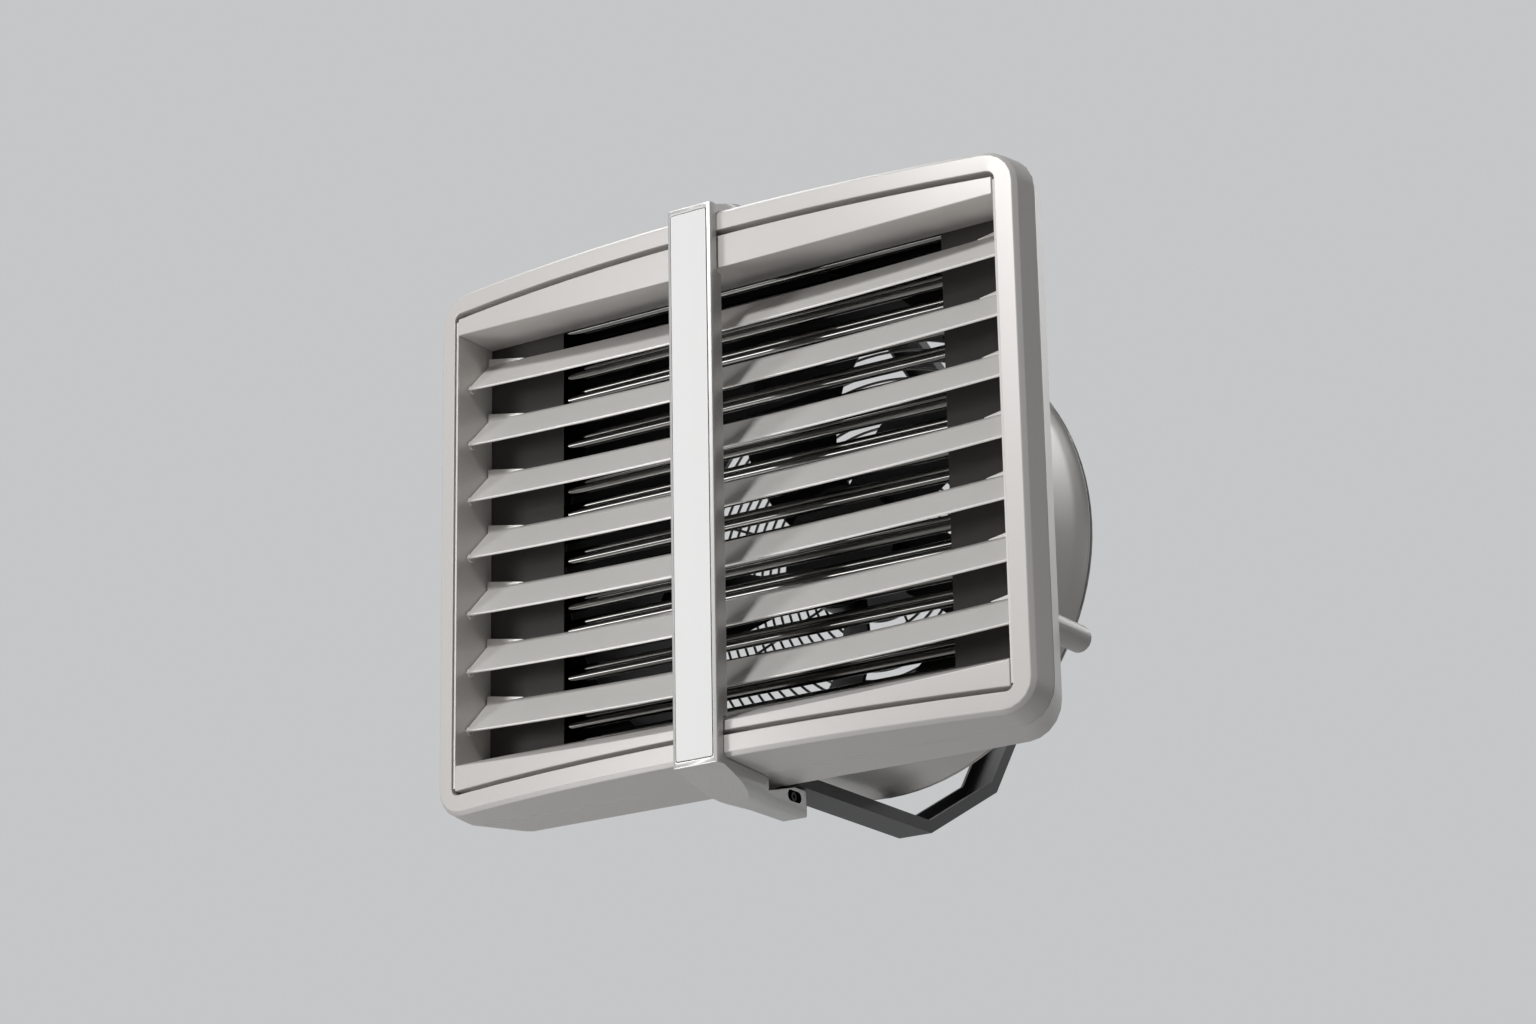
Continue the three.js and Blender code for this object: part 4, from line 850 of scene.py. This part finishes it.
@dataclass
class AirOutlet(SubAssembly):
    """The duct walls, the deflector panels, the mask and the louvers."""

    count: int = 7
    pitch: float = 61.3
    top_tip: float = 180.2
    tip_y: float = 48.0
    chord: float = 54.0
    bow: float = 15.0
    half_length: float = 321.9
    thickness: float = 2.6
    nose: float = 1.1
    set_angle: float = math.radians(45)
    columns: int = 20
    tip_to_pivot: float = 9.0
    pivot_rise: float = 1.0
    boss_radius: float = 4.6
    boss_length: float = 3.0
    pin_radius: float = 2.5
    pin_inside: float = 2.0
    pin_outside: float = 3.1
    lip_run: float = 46.0
    lip_front: float = 2.6
    lip_back: float = 0.4
    lip_below: float = 3.0
    lip_height: float = 6.0
    lip_drop: float = 8.0

    def build(self) -> None:
        """Builds the fixed panels, then the louvers."""
        for side in ("left", "right"):
            self.refined(f"duct_wall_{side}", CASING, "casing", width=0.5)
        for place in ("top", "bottom"):
            self.refined(f"deflector_{place}", CASING, "casing", width=1.2, segments=3)
        self.refined("exchanger_mask", MASK, "duct", width=0.3, segments=1)
        pattern = self.blade()
        for number in range(self.count):
            drop = Matrix.Translation((0, 0, -number * self.pitch * MM))
            louver = Bench.twin(pattern, f"louver_{number + 1}_finished", drop)
            self.stand(
                louver, LOUVER, "casing", f"louver_{number + 1}", body=f"louver_body_{number + 1}"
            )
        bpy.data.objects.remove(pattern, do_unlink=True)

    def blade(self) -> bpy.types.Object:
        """Models the top louver: a bowed blade with a round nose, end lips, bosses and pins.

        Returns:
            The louver in its own place.
        """
        half = self.half_length
        low = Vector((-half, 0, -self.thickness)) * MM
        high = Vector((half, self.chord, 0)) * MM
        blade = Bench.block("blade", low, high)
        step = 2 * half * MM / self.columns
        Bench.slices(
            blade, [-half * MM + step * i for i in range(1, self.columns)], Vector((1, 0, 0))
        )
        for i in range(1, self.columns):
            x = -half * MM + step * i
            sag = self.bow * MM * (1 - (x / (half * MM)) ** 2)
            Bench.shift(blade, lambda place, x=x: abs(place.x - x) < ON_PLANE, Vector((0, -sag, 0)))
        Bench.soften(blade, self.nose, segments=3, angle=40)
        tip = Matrix.Translation(at(0, self.tip_y, self.top_tip))
        blade.matrix_world = tip @ Matrix.Rotation(self.set_angle, 4, "X")
        Bench.pick(blade)
        blade = Bench.settle("blade")
        additions = [blade]
        pivot_y = self.tip_y + self.tip_to_pivot * math.cos(self.set_angle)
        pivot_z = self.top_tip + self.pivot_rise * math.sin(self.set_angle)
        for side in Side:
            start = min(side.value * half, side.value * (half - self.boss_length))
            place = at(start, pivot_y, pivot_z)
            boss = Bench.rod("boss", Axis.X, self.boss_radius, place, self.boss_length, sides=24)
            Bench.soften(boss, width=0.5)
            inner, outer = half - self.pin_inside, half + self.pin_outside
            place = at(min(side.value * inner, side.value * outer), pivot_y, pivot_z)
            pin = Bench.rod("pin", Axis.X, self.pin_radius, place, outer - inner, sides=20)
            additions += [boss, pin, self.end_lip(side)]
        made = Bench.unite("louver_pattern", additions)
        Bench.smooth(made)
        return made

    def end_lip(self, side: Side) -> bpy.types.Object:
        """Models the upright lip on the rear edge at one end, which runs out towards the middle.

        Args:
            side: The end.

        Returns:
            The lip in the top louver's place.
        """
        rise = math.sin(self.set_angle) * self.chord
        rear = self.tip_y + rise
        inner = side.value * (self.half_length - self.lip_run)
        outer = side.value * self.half_length
        top = self.top_tip + rise + self.lip_height
        lip = Bench.block(
            "lip",
            at(min(inner, outer), rear - self.lip_front, self.top_tip + rise - self.lip_below),
            at(max(inner, outer), rear - self.lip_back, top),
        )
        corner = Vector((inner, 0, top)) * MM
        Bench.shift(
            lip,
            lambda place: max(abs(place.x - corner.x), abs(place.z - corner.z)) < ON_PLANE,
            Vector((0, 0, -self.lip_drop * MM)),
        )
        Bench.soften(lip, width=0.6)
        return lip


@dataclass
class HeatExchanger(SubAssembly):
    """The tubes with their plates, the headers and the pipe stubs."""

    radius: float = 4.75
    pitch: float = 25.0
    rows: tuple[tuple[float, int], ...] = ((101.0, 20), (116.0, 19))
    tube_sides: int = 20
    end_plate: float = 288.0
    half_plate: float = 1.0
    plate_front: float = 94.4
    plate_back: float = 121.4
    plate_reach: float = 250.0

    def build(self) -> None:
        """Builds the coil, then the pipework on it."""
        self.tubes()
        self.plates()
        for side in ("left", "right"):
            self.refined(f"header_{side}", PIPE, "headers", width=1.5, segments=3)
            self.refined(f"grommet_{side}", RUBBER, "rubber", width=0.7, segments=3)
        for pipe in ("water_inlet", "water_outlet"):
            self.refined(pipe, PIPE, "pipes", width=0.8, segments=3)

    def tubes(self) -> None:
        """Models one tube and copies it into two staggered rows."""
        start = at(-self.end_plate, 0, 0)
        pattern = Bench.rod("tube", Axis.X, self.radius, start, 2 * self.end_plate, self.tube_sides)
        Bench.smooth(pattern)
        tubes = []
        for y, count in self.rows:
            for number in range(count):
                z = (number - (count - 1) / 2) * self.pitch
                place = Matrix.Translation(Vector((0, y, z)) * MM)
                tubes.append(Bench.twin(pattern, "tube_copy", place))
        bpy.data.objects.remove(pattern, do_unlink=True)
        self.stand(Bench.unite("coil_tubes", tubes), TUBE, "tubes", "tube_bundle")

    def plates(self) -> None:
        """Models the two upright plates that hold the tubes' ends."""
        plates = [
            Bench.block(
                "plate",
                at(x - self.half_plate, self.plate_front, -self.plate_reach),
                at(x + self.half_plate, self.plate_back, self.plate_reach),
            )
            for x in (-self.end_plate, self.end_plate)
        ]
        for plate in plates:
            Bench.soften(plate, width=0.25, segments=1)
        self.stand(Bench.unite("coil_plates", plates), SHEET, "duct")


@dataclass
class Fan(SubAssembly):
    """The impeller with its motor, and the guard that carries them."""

    guard_y: float = 342.7
    wire: float = 1.5
    rings: int = 18
    inner: float = 60.0
    outer: float = 246.8
    spokes: int = 8
    spoke_root: float = 3.0
    foot_from: tuple[float, float] = (245.3, 339.8)
    foot_reach: float = 247.8
    foot_half_width: float = 6.0
    plate: float = 3.0

    def build(self) -> None:
        """Builds the turning pieces, then the fixed ones."""
        self.refined("impeller", BLADE, "fan", width=0.8, body="fan")
        self.refined("motor_rotor", MOTOR, "motor", width=1.5, segments=3, body="fan")
        self.refined("motor_shaft", ZINC, "zinc", width=0.4, body="fan")
        self.refined("motor_stator", MOTOR, "motor", width=1.2, segments=3)
        self.guard()

    def guard(self) -> None:
        """Models the wire rings, the spokes, the feet and the middle plate."""
        wires = []
        for number in range(1, self.rings + 1):
            radius = self.inner + (self.outer - self.inner) * number / self.rings
            wires.append(Bench.hoop("ring", radius, self.wire, self.guard_y))
        root = at(self.inner - self.spoke_root, self.guard_y, 0)
        length = self.outer - self.inner + self.spoke_root
        spoke = Bench.rod("spoke", Axis.X, self.wire, root, length, sides=10)
        Bench.smooth(spoke)
        foot = Bench.block(
            "foot",
            at(*self.foot_from, -self.foot_half_width),
            at(self.foot_reach, self.guard_y, self.foot_half_width),
        )
        Bench.soften(foot, width=0.6)
        centre = Matrix.Translation(at(0, 0, 0))
        for number in range(self.spokes):
            turn = centre @ Matrix.Rotation((number + 0.5) / self.spokes * FULL_TURN, 4, "Y")
            for pattern in (spoke, foot):
                wires.append(Bench.twin(pattern, "guard_part", turn @ centre.inverted()))
        for pattern in (spoke, foot):
            bpy.data.objects.remove(pattern, do_unlink=True)
        middle = at(0, self.guard_y - self.plate / 2, 0)
        plate = Bench.rod("plate", Axis.Y, self.inner, middle, self.plate, sides=64)
        Bench.soften(plate, width=0.8)
        guard = Bench.unite("fan_guard_finished", [*wires, plate])
        Bench.smooth(guard)
        self.stand(guard, WIRE, "guard", "fan_guard")


@dataclass
class CentreBand(SubAssembly):
    """The band with its cover plate and its lugs, and the small parts at the swivel."""

    edge: float = 1.4
    recess: tuple[tuple[float, float], tuple[float, float]] = ((121.0, 284.9), (147.0, 297.1))
    recess_floor: float = 13.6
    floor_margin: float = 0.5
    lug_half_width: float = 18.6
    mouth_margin: float = 0.4
    cover_edge: float = 0.3
    cover_seam: float = 0.45
    cover_seat: tuple[float, float] = (-10.6, -8.0)
    seat_margin: float = 0.5

    def build(self) -> None:
        """Builds the band, its cover and the joint's fasteners."""
        band = Bench.from_node("centre_band_finished", self.nodes["centre_band"])
        Bench.soften(band, self.edge, segments=3)
        Bench.paint(band, BAND.make())
        # Painted shade: the recesses round the lock screws are painted black for the shade in them.
        Bench.paint_where(band, PAINTED_SHADE_BLACK.make(), self.gets_recess_painted_shade)
        cover = Bench.from_node("band_cover_finished", self.nodes["band_cover"])
        corners = [corner.co.copy() for corner in cover.data.vertices]
        reach = {axis: max(abs(corner[axis]) for corner in corners) for axis in (0, 2)}
        # Painted shade: the seat round the cover plate is painted black, so the seam round the
        # cover reads as a dark gap.
        Bench.paint_where(
            band,
            PAINTED_SHADE_BLACK.make(),
            lambda middle, normal: self.gets_seat_painted_shade(middle, reach[0], reach[2]),
        )
        self.stand(band, BAND, "band", "centre_band")
        for corner in cover.data.vertices:
            for axis, half in reach.items():
                corner.co[axis] *= 1 - self.cover_seam * MM / half
        Bench.soften(cover, self.cover_edge, segments=3)
        self.stand(cover, COVER, "cover", "band_cover")
        for place in ("lower", "upper"):
            self.refined(f"swivel_bolt_{place}", BLACKENED, "bolts", width=0.5)
            self.refined(f"swivel_washer_{place}", ZINC, "zinc", width=0.3)
            self.refined(f"swivel_spacer_{place}", ZINC, "zinc", width=0.5)
            self.refined(f"lock_screw_{place}", BLACKENED, "bolts", width=0.4)

    def gets_seat_painted_shade(self, middle: Vector, half_width: float, half_height: float) -> bool:
        """Says whether a face lies in the shallow seat under the cover plate, where it gets black
        painted shade for the dark seam round the cover.

        Args:
            middle: The face's middle, in metres.
            half_width: Half the cover's width, in metres.
            half_height: Half the cover's height, in metres.

        Returns:
            True for the seat's floor and walls.
        """
        low, high = self.cover_seat
        margin = self.seat_margin * MM
        inside = abs(middle.x) < half_width + margin and abs(middle.z) < half_height + margin
        return inside and low < middle.y / MM + WALL_Y < high

    def gets_recess_painted_shade(self, middle: Vector, normal: Vector) -> bool:
        """Says whether a face lies in a recess round a lock screw, where it gets black painted
        shade.

        Args:
            middle: The face's middle, in metres.
            normal: The face's normal.

        Returns:
            True for the recesses' walls and floors.
        """
        low, high = self.recess
        depth = abs(middle.z / MM)
        along = middle.y / MM + WALL_Y
        inside = low[0] < along < high[0] and low[1] < depth < high[1]
        floor = self.recess_floor - self.floor_margin
        mouth = self.lug_half_width - self.mouth_margin
        return inside and floor < middle.x / MM < mouth


@dataclass
class WallConsole(SubAssembly):
    """The folded steel console."""

    body: str = "console_body"
    edge: float = 1.3

    def build(self) -> None:
        """Builds the console."""
        self.refined("console", CONSOLE, "console", self.edge, segments=3)


@dataclass
class TerminalBox(SubAssembly):
    """The box that the supply cable would enter."""

    def build(self) -> None:
        """Builds the box, its lid and its gland."""
        self.refined("terminal_box", MASK, "duct", width=2.0, segments=3)
        self.refined("terminal_box_lid", MASK, "duct", width=1.2, segments=3)
        self.refined("cable_gland", BLADE, "fan", width=0.8)


# ---------------------------------------------------------------- studio


@dataclass(frozen=True)
class Lamp:
    """A soft square lamp."""

    name: str
    place: tuple[float, float, float]
    size: float
    power: float

    def light(self, target: Vector) -> None:
        """Adds the lamp to the scene.

        Args:
            target: The point that it faces, in metres.
        """
        data = bpy.data.lights.new(self.name, "AREA")
        data.size = self.size
        data.energy = self.power
        lamp = bpy.data.objects.new(self.name, data)
        bpy.context.scene.collection.objects.link(lamp)
        lamp.location = self.place
        lamp.rotation_euler = (target - lamp.location).to_track_quat("-Z", "Y").to_euler()


LAMPS = (
    Lamp("Key", (0.1, -4.2, 2.6), 0.7, 124),
    Lamp("Sheen", (-2.4, -3.9, 1.3), 0.8, 14),
    Lamp("Glint", (-2.6, -4.4, -0.1), 1.3, 50),
    Lamp("Under", (-1.2, -1.25, -1.7), 0.5, 6),
    Lamp("Top", (-1.35, 0.1, 2.5), 1.0, 12),
    Lamp("Rear", (3.4, 1.2, 0.4), 1.2, 5),
    Lamp("Back fill", (0.9, 4.2, 2.4), 2.0, 45),
)


@dataclass
class Studio:
    """A plain pale floor, soft lamps and the camera at the photograph's place."""

    lens: float = 91.58
    sensor: float = 36.0
    place: Vector = Vector((2.0385, -3.5769, -1.2220))
    forward: Vector = Vector((-0.52165, 0.79354, 0.31332))
    up: Vector = Vector((0.18745, -0.25167, 0.94949))
    target: Vector = Vector((0.0, -0.45, 0.0))
    floor_z: float = -1.9
    floor_size: float = 160.0
    floor_grey: float = 0.5
    floor_roughness: float = 0.8
    floor_glow: float = 0.42
    world_lit: float = 0.08
    world_seen: float = 0.7
    pale: tuple[float, float, float] = (0.8, 0.81, 0.82)

    def build(self) -> None:
        """Sets up the camera, the lamps, the world and the floor."""
        self.camera()
        for lamp in LAMPS:
            lamp.light(self.target)
        self.world()
        self.floor()
        bpy.context.scene.view_settings.view_transform = "Standard"

    def camera(self) -> None:
        """Puts the camera where the photograph was taken from."""
        data = bpy.data.cameras.new("Camera")
        data.lens = self.lens
        data.sensor_width = self.sensor
        camera = bpy.data.objects.new("Camera", data)
        bpy.context.scene.collection.objects.link(camera)
        right = self.forward.cross(self.up).normalized()
        up = right.cross(self.forward).normalized()
        turn = Matrix((right, up, -self.forward)).transposed()
        camera.matrix_world = Matrix.Translation(self.place) @ turn.to_4x4()
        bpy.context.scene.camera = camera

    def world(self) -> None:
        """Makes the world pale where it is seen or mirrored, and dimmer as a light."""
        world = bpy.data.worlds.new("Pale studio")
        world.use_nodes = True
        tree = world.node_tree
        background = tree.nodes["Background"]
        background.inputs["Color"].default_value = (*self.pale, 1)
        level = self.level_seen(tree, self.world_lit, self.world_seen)
        tree.links.new(level, background.inputs["Strength"])
        bpy.context.scene.world = world

    @staticmethod
    def level_seen(tree: bpy.types.NodeTree, lit: float, seen: float) -> bpy.types.NodeSocket:
        """Adds nodes that tell the rays that show a surface from the rays that it lights with.

        Args:
            tree: The world's or the material's nodes.
            lit: The strength as a light.
            seen: The strength to the camera, in mirrors and through glass.

        Returns:
            The socket that carries the strength.
        """
        path = tree.nodes.new("ShaderNodeLightPath")
        either = tree.nodes.new("ShaderNodeMath")
        either.operation = "MAXIMUM"
        any_of = tree.nodes.new("ShaderNodeMath")
        any_of.operation = "MAXIMUM"
        level = tree.nodes.new("ShaderNodeMapRange")
        level.inputs["To Min"].default_value = lit
        level.inputs["To Max"].default_value = seen
        link = tree.links.new
        link(path.outputs["Is Camera Ray"], either.inputs[0])
        link(path.outputs["Is Glossy Ray"], either.inputs[1])
        link(either.outputs[0], any_of.inputs[0])
        link(path.outputs["Is Transmission Ray"], any_of.inputs[1])
        link(any_of.outputs[0], level.inputs["Value"])
        return level.outputs["Result"]

    def floor(self) -> None:
        """Lays the floor below the camera, glowing where it is seen or mirrored."""
        bpy.ops.object.select_all(action="DESELECT")
        bpy.ops.mesh.primitive_plane_add(size=self.floor_size, location=(0, 0, self.floor_z))
        floor = Bench.settle("floor")
        material = bpy.data.materials.new("Pale floor")
        material.use_nodes = True
        shader = material.node_tree.nodes["Principled BSDF"]
        shader.inputs["Base Color"].default_value = (*[self.floor_grey] * 3, 1)
        shader.inputs["Roughness"].default_value = self.floor_roughness
        shader.inputs["Emission Color"].default_value = (*self.pale, 1)
        glow = self.level_seen(material.node_tree, 0, self.floor_glow)
        material.node_tree.links.new(glow, shader.inputs["Emission Strength"])
        Bench.paint(floor, material)


def main() -> None:
    """Builds the heater on its frame, then the studio round it."""
    logging.basicConfig(level=logging.INFO, format="%(name)s: %(message)s")
    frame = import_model()
    nodes = frame["nodes"]
    for part in (Casing, AirOutlet, HeatExchanger, Fan, CentreBand, WallConsole, TerminalBox):
        part(nodes).build()
        log.info("%s is done", part.__name__)
    Studio().build()


if __name__ == "__main__":
    main()
